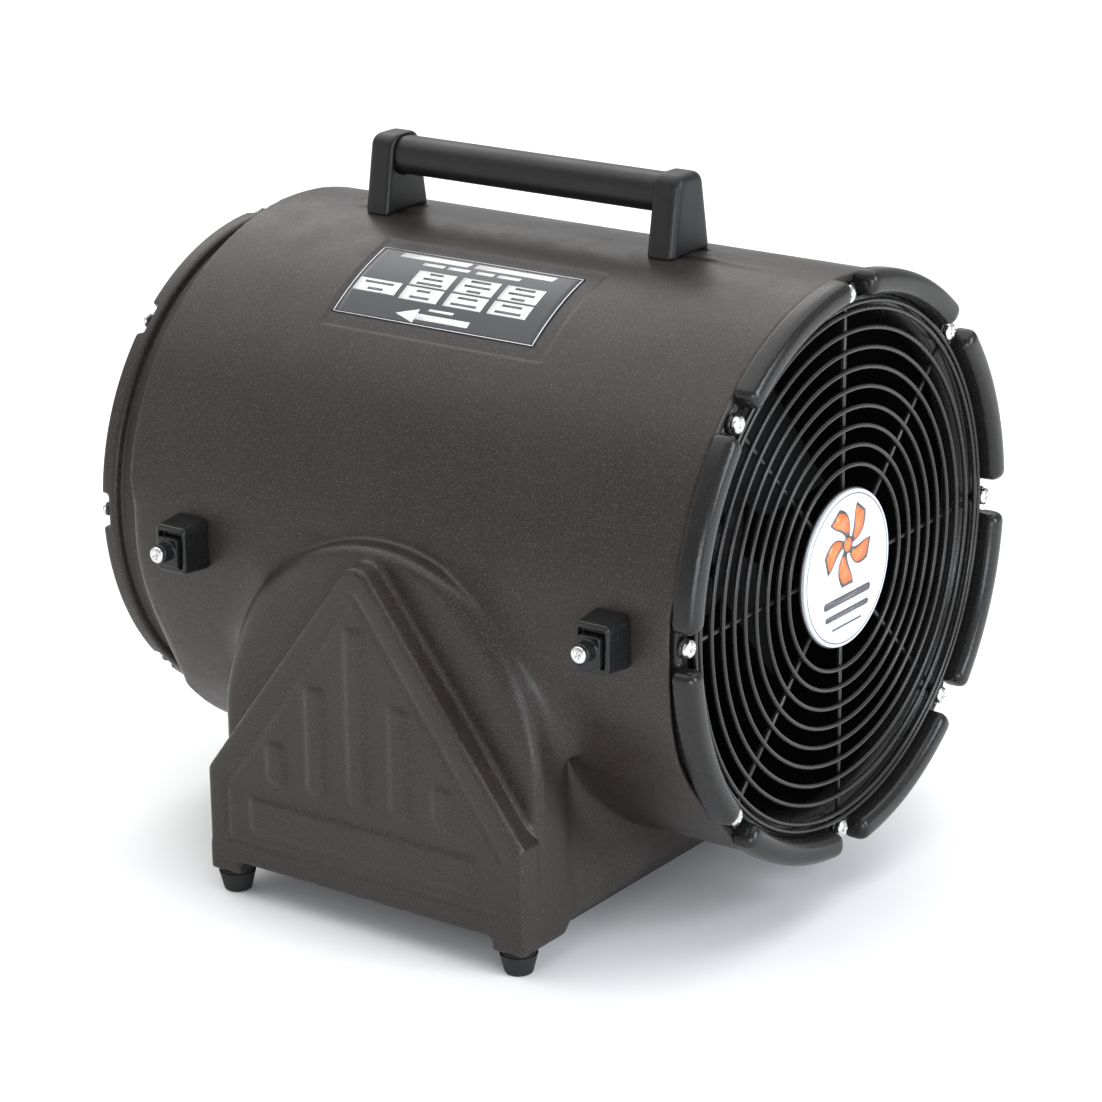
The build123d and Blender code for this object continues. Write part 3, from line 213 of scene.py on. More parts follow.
def bright_metal(name, colour, low, high, streaks=(1.0, 1.0, 1.0), tint=None):
    """Plated or machined metal: directional fine scratches and cloudy tarnish."""
    m = Nodes(name)
    tarnish = m.span(m.noise(160.0, 4.0), 0.35, 0.7)
    m.colour(m.mix(tarnish, colour, tint or tuple(0.72 * c for c in colour)))
    scratch = m.noise(700.0, 3.0, 0.6, m.stretched(streaks))
    m.rough(m.span(scratch, 0.3, 0.7, low, high))
    m.bump([(scratch, 0.15, 0.00008)])
    m.shader.inputs["Metallic"].default_value = 1.0
    return m.material


def coated_wire(name, colour, low, high):
    """Dark coating over wire: slight orange peel and rubbed lighter patches."""
    m = Nodes(name)
    rubbed = m.span(m.noise(120.0, 4.0, 0.65), 0.55, 0.75)
    m.colour(m.mix(rubbed, colour, tuple(1.9 * c for c in colour)))
    m.rough(m.span(m.noise(260.0, 2.0), 0.3, 0.7, low, high))
    m.bump([(m.noise(500.0, 2.0), 0.2, 0.0002)])
    m.shader.inputs["Metallic"].default_value = 0.1
    return m.material


def printed_film(name, colour, low, high):
    """Printed plastic film: almost even colour, faint mottling, a glossy skin."""
    m = Nodes(name)
    mottle = m.span(m.noise(90.0, 3.0), 0.3, 0.7)
    m.colour(m.mix(mottle, colour, tuple(0.86 * c for c in colour)))
    m.rough(m.span(m.noise(45.0, 3.0), 0.3, 0.7, low, high))
    m.bump([(m.noise(30.0, 2.0), 0.08, 0.0004)])
    return m.material


def laminated(name, colour, spacing):
    """Stacked electrical sheet: fine rings along the fan axis."""
    m = Nodes(name)
    wave = m.tree.nodes.new("ShaderNodeTexWave")
    wave.bands_direction = "X"
    wave.inputs["Scale"].default_value = spacing
    m.link(m.place, wave.inputs["Vector"])
    m.colour(m.mix(m.span(m.noise(200.0), 0.35, 0.7), colour, tuple(0.6 * c for c in colour)))
    m.rough(m.span(wave.outputs["Fac"], 0.0, 1.0, 0.35, 0.6))
    m.bump([(wave.outputs["Fac"], 0.3, 0.0002)])
    m.shader.inputs["Metallic"].default_value = 0.9
    return m.material


finishes = {
    "shell_plastic": moulded_plastic("moulded shell plastic", (0.0168, 0.0125, 0.0103),
                                     (0.100, 0.092, 0.085), 0.33, 0.45, strength=0.6, seam=True),
    "handle_plastic": moulded_plastic("handle plastic", (0.0055, 0.0053, 0.0053),
                                      (0.022, 0.022, 0.022), 0.34, 0.46,
                                      grain=1300.0, strength=0.25),
    "hook_plastic": moulded_plastic("hook post plastic", (0.006, 0.006, 0.0062),
                                    (0.02, 0.02, 0.02), 0.20, 0.34, grain=1600.0, strength=0.15),
    "rim_plastic": moulded_plastic("rim plastic", (0.0080, 0.0074, 0.0070),
                                   (0.03, 0.03, 0.03), 0.20, 0.30, strength=0.25),
    "plate_plastic": moulded_plastic("plate plastic", (0.016, 0.016, 0.016),
                                     (0.04, 0.04, 0.04), 0.5, 0.65),
    "foot_rubber": moulded_plastic("foot rubber", (0.010, 0.010, 0.010),
                                   (0.028, 0.027, 0.026), 0.6, 0.8, grain=500.0),
    "terminal_plastic": moulded_plastic("terminal plastic", (0.55, 0.54, 0.50),
                                        (0.65, 0.64, 0.6), 0.4, 0.55),
    "switch_plastic": moulded_plastic("switch plastic", (0.012, 0.012, 0.012),
                                      (0.03, 0.03, 0.03), 0.25, 0.4, grain=1600.0, strength=0.1),
    "rocker_plastic": moulded_plastic("rocker plastic", (0.40, 0.02, 0.015),
                                      (0.5, 0.05, 0.04), 0.22, 0.34, grain=1600.0, strength=0.08),
    "blade_plastic": moulded_plastic("blade plastic", (0.008, 0.008, 0.008),
                                     (0.02, 0.02, 0.02), 0.35, 0.5),
    "guard_wire": coated_wire("coated guard wire", (0.0110, 0.0096, 0.0090), 0.20, 0.32),
    "dark_steel": bright_metal("dark fastener steel", (0.05, 0.05, 0.052), 0.35, 0.5),
    "zinc_steel": bright_metal("zinc plated steel", (0.72, 0.73, 0.74), 0.18, 0.36,
                               tint=(0.58, 0.57, 0.52)),
    "duct_sheet": bright_metal("dark duct sheet", (0.018, 0.018, 0.018), 0.45, 0.6,
                               (0.1, 1.0, 1.0)),
    "motor_paint": moulded_plastic("motor paint", (0.012, 0.012, 0.0125), (0.03, 0.03, 0.03),
                                   0.38, 0.5, grain=600.0),
    "core_steel": laminated("laminated core steel", (0.35, 0.35, 0.36), 320.0),
    "shaft_steel": bright_metal("ground shaft steel", (0.62, 0.62, 0.63), 0.12, 0.28,
                                (6.0, 0.3, 0.3)),
    "hub_aluminium": bright_metal("dark cast hub", (0.035, 0.035, 0.036), 0.38, 0.55),
    "capacitor_can": bright_metal("capacitor can", (0.70, 0.71, 0.72), 0.2, 0.35, (0.2, 1.0, 1.0)),
    "badge_face": printed_film("badge white", (0.66, 0.68, 0.72), 0.16, 0.26),
    "label_film": printed_film("label film", (0.014, 0.016, 0.021), 0.12, 0.22),
    "print_white": printed_film("white print", (0.78, 0.79, 0.80), 0.2, 0.3),
    "print_grey": printed_film("grey print", (0.10, 0.10, 0.11), 0.25, 0.35),
    "print_orange": printed_film("orange print", (0.83, 0.20, 0.055), 0.2, 0.3),
}

# which finish each kind of node takes, by how its name starts
node_finish = (
    ("housing_shell", "shell_plastic"), ("intake_rim", "shell_plastic"),
    ("outlet_collar", "shell_plastic"), ("handle_post", "handle_plastic"),
    ("handle_grip", "handle_plastic"), ("hook_post_screws", "zinc_steel"),
    ("hook_post", "hook_plastic"), ("intake_guard_screws", "zinc_steel"),
    ("outlet_guard_screws", "zinc_steel"), ("intake_guard", "guard_wire"),
    ("outlet_guard", "guard_wire"), ("hub_badge", "badge_face"), ("spec_label", "label_film"),
    ("foot_screws", "zinc_steel"), ("foot_", "foot_rubber"),
    ("bottom_plate_screws", "zinc_steel"), ("bottom_plate", "plate_plastic"),
    ("switch_panel", "plate_plastic"), ("fan_duct", "duct_sheet"), ("motor_shaft", "dark_steel"),
    ("motor_", "motor_paint"), ("stator_core", "core_steel"), ("rotor_core", "core_steel"),
    ("drive_end_bearing", "shaft_steel"), ("rear_bearing", "shaft_steel"),
    ("hub_bolts", "dark_steel"), ("arm_bolts", "dark_steel"), ("shaft_nut", "dark_steel"),
    ("hub_", "hub_aluminium"), ("fan_blade", "blade_plastic"),
    ("capacitor", "capacitor_can"), ("terminal_block", "terminal_plastic"),
    ("switch_rocker", "rocker_plastic"), ("switch_body", "switch_plastic"),
    ("gland_", "switch_plastic"),
)


def finish_of(node):
    """Finish that a node takes; fasteners and fittings not listed are plated steel."""
    return next((slot for start, slot in node_finish if node.startswith(start)), "zinc_steel")


for node_name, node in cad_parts.items():
    node.data.materials.clear()
    node.data.materials.append(finishes[finish_of(node_name)])


# ---------------------------------------------------------------- mesh helpers
def new_piece(name, mesh, finish, body="housing", smooth=True):
    """Put a finished mesh into the scene as a piece that rides on a body."""
    mesh.materials.clear()
    mesh.materials.append(finishes[finish])
    mesh.polygons.foreach_set("use_smooth", [smooth] * len(mesh.polygons))
    piece = bpy.data.objects.new(name, mesh)
    scene.collection.objects.link(piece)
    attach(piece, body)
    return piece


def mesh_of(name, verts, faces):
    """Mesh from points and faces, its normals pointing outwards."""
    mesh = bpy.data.meshes.new(name)
    mesh.from_pydata([tuple(v) for v in verts], [], faces)
    bm = bmesh.new()
    bm.from_mesh(mesh)
    bmesh.ops.remove_doubles(bm, verts=bm.verts, dist=1e-7)
    bmesh.ops.recalc_face_normals(bm, faces=bm.faces)
    bm.to_mesh(mesh)
    bm.free()
    return mesh


def evaluated(obj):
    """Plain mesh of an object with its modifiers applied; the object is removed."""
    bpy.context.view_layer.update()
    depsgraph = bpy.context.evaluated_depsgraph_get()
    mesh = bpy.data.meshes.new_from_object(obj.evaluated_get(depsgraph), depsgraph=depsgraph)
    bpy.data.objects.remove(obj)
    return mesh


def points_of(mesh):
    co = np.empty(3 * len(mesh.vertices))
    mesh.vertices.foreach_get("co", co)
    return co.reshape(-1, 3)


def relax(mesh, co, weight, rounds):
    """Move points towards the mean of their neighbours, by their weights."""
    ends = np.empty(2 * len(mesh.edges), dtype=np.int64)
    mesh.edges.foreach_get("vertices", ends)
    a, b = ends.reshape(-1, 2).T
    used = (weight[a] > 0) | (weight[b] > 0)
    a, b = a[used], b[used]
    count = np.maximum(np.bincount(a, minlength=len(co)) + np.bincount(b, minlength=len(co)), 1)
    for _ in range(rounds):
        for k in range(3):
            total = (np.bincount(a, co[b, k], len(co)) + np.bincount(b, co[a, k], len(co)))
            co[:, k] += 0.6 * weight * (total / count - co[:, k])


def cut_across(mesh, places):
    """Cut the mesh's long faces at these places along X, so that shading follows shape."""
    bm = bmesh.new()
    bm.from_mesh(mesh)
    for x in places:
        bmesh.ops.bisect_plane(bm, geom=bm.verts[:] + bm.edges[:] + bm.faces[:], dist=2e-5,
                               plane_co=(x, 0.0, 0.0), plane_no=(1.0, 0.0, 0.0))
    bmesh.ops.triangulate(bm, faces=bm.faces)
    bm.to_mesh(mesh)
    bm.free()


def moulded(node_name, voxel, rounds, triangles, finish, shape=None, true_normals=None,
            cuts=()):
    """Soften a CAD part into a moulded one: fine remesh, relaxed edges, then thinned out."""
    source = bpy.data.objects.new("rough " + node_name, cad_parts[node_name].data.copy())
    scene.collection.objects.link(source)
    bm = bmesh.new()
    bm.from_mesh(source.data)
    bmesh.ops.remove_doubles(bm, verts=bm.verts, dist=1e-6)
    bm.to_mesh(source.data)
    bm.free()
    remesh = source.modifiers.new("remesh", "REMESH")
    remesh.mode = "VOXEL"
    remesh.voxel_size = voxel
    mesh = evaluated(source)
    co = points_of(mesh)
    relax(mesh, co, np.ones(len(co)), rounds)
    if shape:
        shape(mesh, co)
    low, high = (np.array(corner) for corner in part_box(node_name))
    co = np.clip(co, low, high)
    mesh.vertices.foreach_set("co", co.ravel())
    mesh.update()
    fine_normals = np.empty(3 * len(mesh.vertices))
    mesh.vertex_normals.foreach_get("vector", fine_normals)
    fine_normals = fine_normals.reshape(-1, 3)
    tree = KDTree(len(co))
    for i, point in enumerate(co):
        tree.insert(point, i)
    tree.balance()
    thin = bpy.data.objects.new("thin " + node_name, mesh)
    scene.collection.objects.link(thin)
    count = sum(len(p.vertices) - 2 for p in mesh.polygons)
    if count > triangles:
        decimate = thin.modifiers.new("decimate", "DECIMATE")
        decimate.ratio = triangles / count
    mesh = evaluated(thin)
    cut_across(mesh, cuts)
    nearest = np.array([tree.find(v.co)[1] for v in mesh.vertices])
    normals = fine_normals[nearest]
    if true_normals:
        true_normals(points_of(mesh), normals)
    piece = new_piece(node_name + "_moulded", mesh, finish)
    mesh.normals_split_custom_set_from_vertices(normals.tolist())
    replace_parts(piece, node_name)
    return piece


# ---------------------------------------------------------------- housing shell
def shape_shell(mesh, co):
    """Blend the pedestal softly into the barrel, and true up the barrel and label recess."""
    x, y, up = co[:, 0], co[:, 1], co[:, 2] - AXIS_Z
    r = np.hypot(y, up)
    off_barrel = r - BARREL_R
    # distance outside the pedestal: its leaning end walls or the arched faces
    wall = np.abs(x - BASE_X) - (BASE_HALF_X - SIDE_LEAN * (co[:, 2] - BASE_BOTTOM))
    arch = (np.sqrt(((x - BASE_X) / BASE_HALF_X) ** 2
                    + (np.maximum(co[:, 2] - ARCH_CENTRE_Z, 0) / ARCH_RISE) ** 2) - 1) * BASE_HALF_X
    off_pedestal = np.where(np.abs(y) > FACE_Y - FACE_SLAB, np.minimum(arch, wall), wall)
    near = np.flatnonzero((np.abs(off_barrel) < 2.5 * MM) & (np.abs(off_pedestal) < 4 * MM)
                          & (co[:, 2] < 240 * MM))
    tree = KDTree(len(near))
    for i in near:
        tree.insert(co[i], int(i))
    tree.balance()
    region = np.flatnonzero((off_barrel > -1.5 * MM) & (off_barrel < BLEND_REACH)
                            & (off_pedestal > -BLEND_REACH) & (off_pedestal < BLEND_REACH)
                            & (np.abs(y) < FACE_Y + 1 * MM) & (co[:, 2] < 250 * MM))
    weight = np.zeros(len(co))
    for i in region:
        share = max(0.0, 1 - tree.find(co[i])[2] / BLEND_REACH)
        weight[i] = share * share * (3 - 2 * share)
    spacing = float(np.median(np.linalg.norm(np.diff(co[:2000], axis=0), axis=1)))
    effort = (SHELL_VOXEL / max(spacing, 1.0 * MM)) ** 2
    relax(mesh, co, weight, int(ARCH_ROUNDS * effort))
    # the arched faces run softly into the leaning end walls
    share = np.clip(1 - np.abs(np.abs(co[:, 1]) - FACE_Y + FACE_SLAB) / SLAB_BLEND, 0, 1)
    share *= np.clip((np.abs(co[:, 0] - BASE_X) - SLAB_BLEND_X) / SLAB_BLEND_FADE, 0, 1)
    share *= np.clip((co[:, 2] - SLAB_BLEND_FOOT) / SLAB_BLEND_FADE, 0, 1)
    share *= np.clip((SLAB_BLEND_TOP - co[:, 2]) / (20 * MM), 0, 1)
    share = share * share * (3 - 2 * share)
    relax(mesh, co, share, int(SLAB_ROUNDS * effort))
    weight = np.maximum(weight, share)
    # true cylinder away from the blend, with the recess stepped in
    angle = np.degrees(np.arctan2(up, -y))
    inside_x = RECESS_HALF_X - np.abs(x)
    inside_a = np.minimum(angle - RECESS_ANGLES[0], RECESS_ANGLES[1] - angle)
    inside_a = inside_a * radians(1) * BARREL_R
    depth = np.clip(np.minimum(inside_x, inside_a) / RECESS_RAMP + 0.5, 0, 1)
    ends = np.clip(np.minimum(x - BARREL_X0, BARREL_X1 - x) / (2.5 * MM), 0, 1)
    r = np.hypot(y, up)
    true_r = BARREL_R - RECESS_DEPTH * depth
    hold = (np.abs(r - BARREL_R + 0.4 * MM) < 0.75 * MM) * ends * (1 - np.clip(weight * 4, 0, 1))
    scale = 1 + hold * (true_r / np.maximum(r, 1e-6) - 1)
    co[:, 1] *= scale
    co[:, 2] = AXIS_Z + up * scale


def barrel_normals(co, normals):
    """Exact outward normals where the shell is a true cylinder."""
    up = co[:, 2] - AXIS_Z
    r = np.hypot(co[:, 1], up)
    off = np.minimum(np.abs(r - BARREL_R), np.abs(r - BARREL_R + RECESS_DEPTH))
    true = (off < CYLINDER_SLACK) & (co[:, 0] > BARREL_X0 + END_ROUND)
    true &= co[:, 0] < BARREL_X1 - END_ROUND
    radial = np.stack([np.zeros(len(co)), co[:, 1] / r, up / r], axis=1)
    true &= (radial * normals).sum(axis=1) > 0.985
    normals[true] = radial[true]


end_cuts = (3.5 * MM, 12.0 * MM, 35.0 * MM)
shell_cuts = ([BARREL_X0 + step for step in end_cuts] + [BARREL_X1 - step for step in end_cuts]
              + [-RECESS_HALF_X - 3 * MM, RECESS_HALF_X + 3 * MM])
moulded("housing_shell", SHELL_VOXEL, 3, 140000, "shell_plastic", shape_shell, barrel_normals,
                cuts=shell_cuts)
moulded("intake_rim", 0.9 * MM, 9, 90000, "rim_plastic")
moulded("outlet_collar", 1.0 * MM, 5, 60000, "shell_plastic")

# ---------------------------------------------------------------- handle and hook posts
for part_name in ("handle_post_front", "handle_post_rear"):
    moulded(part_name, 0.6 * MM, 9, 26000, "handle_plastic")
moulded("handle_grip", 0.9 * MM, 6, 20000, "handle_plastic")
for part_name in ("hook_post_front_left", "hook_post_rear_left",
                  "hook_post_front_right", "hook_post_rear_right"):
    moulded(part_name, 0.4 * MM, 4, 24000, "hook_plastic")


# ---------------------------------------------------------------- repeated pieces
def group_tree(name):
    """Empty geometry node tree with a geometry input and output; finish_tree later ends it in
    realised instances with one material.
    """
    tree = bpy.data.node_groups.new(name, "GeometryNodeTree")
    tree.interface.new_socket("Geometry", in_out="INPUT", socket_type="NodeSocketGeometry")
    tree.interface.new_socket("Geometry", in_out="OUTPUT", socket_type="NodeSocketGeometry")
    return tree


def finish_tree(tree, source, finish):
    """Realise the instances and give them their material."""
    realise = tree.nodes.new("GeometryNodeRealizeInstances")
    paint = tree.nodes.new("GeometryNodeSetMaterial")
    paint.inputs["Material"].default_value = finishes[finish]
    out = tree.nodes.new("NodeGroupOutput")
    tree.links.new(source, realise.inputs[0])
    tree.links.new(realise.outputs[0], paint.inputs[0])
    tree.links.new(paint.outputs[0], out.inputs[0])


def run_tree(tree, base, settings):
    """Mesh that a node tree makes from a base mesh with the given named inputs."""
    holder = bpy.data.objects.new("holder " + tree.name, base)
    scene.collection.objects.link(holder)
    modifier = holder.modifiers.new("shape", "NODES")
    modifier.node_group = tree
    for item in tree.interface.items_tree:
        if item.in_out == "INPUT" and item.name in settings:
            modifier[item.identifier] = settings[item.name]
    return evaluated(holder)


def circle_instances(name, finish):
    """Node tree: copies of the base mesh, turned about X, on a circle about the fan axis."""
    tree = group_tree(name)
    for label, kind in (("Count", "NodeSocketInt"), ("Radius", "NodeSocketFloat"),
                        ("Height", "NodeSocketFloat"), ("Along", "NodeSocketFloat")):
        tree.interface.new_socket(label, in_out="INPUT", socket_type=kind)
    given = tree.nodes.new("NodeGroupInput")
    circle = tree.nodes.new("GeometryNodeMeshCircle")
    turn = tree.nodes.new("GeometryNodeTransform")
    turn.inputs["Rotation"].default_value = (0.0, pi / 2, 0.0)
    spot = tree.nodes.new("ShaderNodeCombineXYZ")
    scatter = tree.nodes.new("GeometryNodeInstanceOnPoints")
    tree.links.new(given.outputs["Count"], circle.inputs["Vertices"])
    tree.links.new(given.outputs["Radius"], circle.inputs["Radius"])
    tree.links.new(given.outputs["Along"], spot.inputs["X"])
    tree.links.new(given.outputs["Height"], spot.inputs["Z"])
    tree.links.new(circle.outputs["Mesh"], turn.inputs["Geometry"])
    tree.links.new(spot.outputs[0], turn.inputs["Translation"])
    tree.links.new(turn.outputs["Geometry"], scatter.inputs["Points"])
    tree.links.new(given.outputs["Geometry"], scatter.inputs["Instance"])
    finish_tree(tree, scatter.outputs[0], finish)
    return tree


def wire_rings(name, finish):
    """Node tree: wire rings, one for each point of the base mesh, whose z is the ring's size."""
    tree = group_tree(name)
    for label, kind in (("Wire", "NodeSocketFloat"), ("Along", "NodeSocketFloat"),
                        ("Height", "NodeSocketFloat")):
        tree.interface.new_socket(label, in_out="INPUT", socket_type=kind)
    given = tree.nodes.new("NodeGroupInput")
    place = tree.nodes.new("GeometryNodeInputPosition")
    split = tree.nodes.new("ShaderNodeSeparateXYZ")
    circle = tree.nodes.new("GeometryNodeCurvePrimitiveCircle")
    circle.inputs["Resolution"].default_value = 160
    circle.inputs["Radius"].default_value = 1.0
    centre = tree.nodes.new("GeometryNodeSetPosition")
    spot = tree.nodes.new("ShaderNodeCombineXYZ")
    scatter = tree.nodes.new("GeometryNodeInstanceOnPoints")
    realise = tree.nodes.new("GeometryNodeRealizeInstances")
    section = tree.nodes.new("GeometryNodeCurvePrimitiveCircle")
    section.inputs["Resolution"].default_value = 12
    tube = tree.nodes.new("GeometryNodeCurveToMesh")
    tree.links.new(place.outputs[0], split.inputs[0])
    tree.links.new(given.outputs["Along"], spot.inputs["X"])
    tree.links.new(given.outputs["Height"], spot.inputs["Z"])
    tree.links.new(given.outputs["Geometry"], scatter.inputs["Points"])
    tree.links.new(circle.outputs["Curve"], scatter.inputs["Instance"])
    tree.links.new(split.outputs["Z"], scatter.inputs["Scale"])
    scatter.inputs["Rotation"].default_value = (0.0, pi / 2, 0.0)
    tree.links.new(scatter.outputs[0], centre.inputs["Geometry"])
    tree.links.new(spot.outputs[0], centre.inputs["Position"])
    tree.links.new(centre.outputs["Geometry"], realise.inputs[0])
    tree.links.new(realise.outputs[0], tube.inputs["Curve"])
    tree.links.new(given.outputs["Wire"], section.inputs["Radius"])
    tree.links.new(section.outputs["Curve"], tube.inputs["Profile Curve"])
    finish_tree(tree, tube.outputs["Mesh"], finish)
    return tree


def tube_between(start, end, radius, sides=12):
    """Verts and faces of a round bar with domed ends."""
    along = (end - start).normalized()
    side = along.orthogonal().normalized()
    other = along.cross(side)
    rings = [(-0.5, 0.55), (0.0, 1.0), (0.0, 1.0), (0.5, 0.55)]
    anchors = [start, start, end, end]
    verts, faces = [], []
    for (lift, size), anchor in zip(rings, anchors):
        for k in range(sides):
            turn = 2 * pi * k / sides
            verts.append(anchor + along * lift * radius
                         + (side * cos(turn) + other * sin(turn)) * radius * size)
    for ring in range(3):
        for k in range(sides):
            n = (k + 1) % sides
            faces.append((ring * sides + k, ring * sides + n,
                          (ring + 1) * sides + n, (ring + 1) * sides + k))
    faces.append(tuple(range(sides - 1, -1, -1)))
    faces.append(tuple(range(3 * sides, 4 * sides)))
    return verts, faces


def eyelet(centre, out, radius, hole, thickness, sides=24):
    """Verts and faces of a flattened wire eye, a flat ring with rounded edges."""
    half = thickness / 2
    mid, reach = (radius + hole) / 2, (radius - hole) / 2
    section = [(mid + reach * cos(t), half * sin(t)) for t in (2 * pi * k / 10 for k in range(10))]
    verts, faces = [], []
    for i in range(sides):
        turn = 2 * pi * i / sides
        for r, x in section:
            verts.append(Vector((centre.x + out * (half + x), centre.y + r * cos(turn),
                                 centre.z + r * sin(turn))))
    count = len(section)
    for i in range(sides):
        for k in range(count):
            n, m = (i + 1) % sides, (k + 1) % count
            faces.append((i * count + k, i * count + m, n * count + m, n * count + k))
    return verts, faces


def joined(name, parts):
    """One mesh from several lots of verts and faces."""
    verts, faces = [], []
    for some_verts, some_faces in parts:
        first = len(verts)
        verts += some_verts
        faces += [tuple(first + i for i in face) for face in some_faces]
    return mesh_of(name, verts, faces)


def wheel_point(angle, radius, x):
    return Vector((x, radius * cos(radians(angle)), AXIS_Z + radius * sin(radians(angle))))


def disc(x, out, radius, thickness, edge, sides=96):
    """Verts and faces of a flat disc with a rounded outer edge."""
    profile = [(0.0, 0.0), (radius - edge, 0.0)]
    profile += [(radius - edge + edge * sin(t), edge - edge * cos(t))
                for t in (pi / 2 * k / 4 for k in range(1, 5))]
    profile += [(radius, thickness - edge)]
    profile += [(radius - edge + edge * cos(t), thickness - edge + edge * sin(t))
                for t in (pi / 2 * k / 4 for k in range(1, 5))]
    profile += [(0.0, thickness)]
    verts, faces = [], []
    for i in range(sides):
        for r, along in profile:
            verts.append(wheel_point(360 * i / sides, r, x + out * along))
    count = len(profile)
    for i in range(sides):
        n = (i + 1) % sides
        for k in range(count - 1):
            faces.append((i * count + k, i * count + k + 1, n * count + k + 1, n * count + k))
    return verts, faces


def wire_guard(node_name, seat_x, out, radii, eye_r, hub_r, eye_size, hole):
    """Guard of round rings in front of thinner spokes, each ending in an eyelet."""
    ring_x = seat_x + out * 3.9 * MM
    base = bpy.data.meshes.new("ring sizes")
    base.from_pydata([(0.0, 0.0, r) for r in radii], [], [])
    rings = run_tree(wire_rings(node_name + " rings", "guard_wire"), base,
                     {"Wire": WIRE_R, "Along": ring_x, "Height": AXIS_Z})
    parts = []
    for i in range(NOTCHES):
        angle = 360 / NOTCHES * i
        spoke_x, spoke_end = seat_x + out * WIRE_R, eye_r - hole - 0.8 * MM
        parts.append(tube_between(wheel_point(angle, hub_r, spoke_x),
                                  wheel_point(angle, spoke_end, spoke_x), WIRE_R))
        parts.append(eyelet(wheel_point(angle, eye_r, seat_x), out, eye_size, hole, 2 * WIRE_R))
    parts.append(disc(seat_x + out * 2.2 * MM, out, hub_r + 12 * MM, 1.4 * MM, 0.5 * MM))
    spokes = joined(node_name + " spokes", parts)
    bm = bmesh.new()
    bm.from_mesh(rings)
    bm.from_mesh(spokes)
    bmesh.ops.remove_doubles(bm, verts=bm.verts, dist=1e-7)
    bmesh.ops.recalc_face_normals(bm, faces=bm.faces)
    whole = bpy.data.meshes.new(node_name)
    bm.to_mesh(whole)
    bm.free()
    piece = new_piece(node_name + "_wires", whole, "guard_wire")
    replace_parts(piece, node_name)
    return piece


wire_guard("intake_guard", GUARD_X, 1, GUARD_RINGS, GUARD_EYE_R,
           hub_r=34.8 * MM, eye_size=6.0 * MM, hole=2.6 * MM)
wire_guard("outlet_guard", OUTLET_X, -1, OUTLET_RINGS, OUTLET_EYE_R,
           hub_r=14.0 * MM, eye_size=4.2 * MM, hole=2.1 * MM)


def pan_head(name, head_r, height, shank_r, length):
    """Cross-recessed pan-head screw along +X: domed head above x = 0, shank below it."""
    sides, steps = 48, 14
    verts, faces = [], []
    profile = [(-length, 0.7 * shank_r), (-0.93 * length, shank_r), (0.0, shank_r), (0.0, head_r)]
    for x, r in profile:
        for i in range(sides):
            turn = 2 * pi * i / sides
            verts.append(Vector((x, r * cos(turn), r * sin(turn))))
    for step in range(1, steps + 1):
        slope = pi / 2 * step / steps
        r = head_r * cos(slope) ** 0.75
        for i in range(sides):
            turn = 2 * pi * i / sides
            y, z = r * cos(turn), r * sin(turn)
            x = height * (0.45 + 0.55 * sin(slope)) if step > 1 else 0.35 * height
            arm = min(max(abs(y), abs(z)) / (0.52 * head_r), 1.0)
            slot = min(abs(y), abs(z)) / (0.14 * head_r)
            sink = max(0.0, 1.0 - slot ** 3) * (1.0 - arm ** 6) * (0.65 - 0.3 * arm)
            verts.append(Vector((x - height * sink, y, z)))
    rings = len(profile) + steps
    for ring in range(rings - 1):
        for i in range(sides):
            n = (i + 1) % sides
            faces.append((ring * sides + i, ring * sides + n,
                          (ring + 1) * sides + n, (ring + 1) * sides + i))
    faces.append(tuple(range(sides - 1, -1, -1)))
    return mesh_of(name, verts, faces)


def screw_circle(node_name, head, radius, along):
    """A circle of equal screws in place of a CAD group."""
    made = run_tree(circle_instances(node_name + " circle", "zinc_steel"), head,
                    {"Count": NOTCHES, "Radius": radius, "Height": AXIS_Z, "Along": along})
    piece = new_piece(node_name + "_heads", made, "zinc_steel")
    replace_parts(piece, node_name)
    return piece


intake_head = pan_head("intake screw", head_r=5.2 * MM, height=4.2 * MM, shank_r=2.4 * MM,
                       length=15.0 * MM)
screw_circle("intake_guard_screws", intake_head, GUARD_EYE_R, GUARD_X + 2.8 * MM)
outlet_head = pan_head("outlet screw", head_r=4.2 * MM, height=2.6 * MM, shank_r=1.9 * MM,
                       length=6.0 * MM)
outlet_head.transform(Matrix.Rotation(pi, 4, "Z"))
screw_circle("outlet_guard_screws", outlet_head, OUTLET_EYE_R, OUTLET_X - 2.8 * MM)

hook_parts = bmesh.new()
for side in (-1, 1):
    for x in HOOK_X:
        head = pan_head("hook screw", head_r=4.8 * MM, height=2.5 * MM, shank_r=1.75 * MM,
                        length=12.0 * MM)
        spin = Matrix.Rotation(side * pi / 2, 4, "Z") @ Matrix.Rotation(radians(20), 4, "X")
        head.transform(Matrix.Translation((x, side * HOOK_STUD_Y, AXIS_Z)) @ spin)
        hook_parts.from_mesh(head)
hook_mesh = bpy.data.meshes.new("hook screws")
hook_parts.to_mesh(hook_mesh)
hook_parts.free()
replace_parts(new_piece("hook_post_screws_heads", hook_mesh, "zinc_steel"), "hook_post_screws")


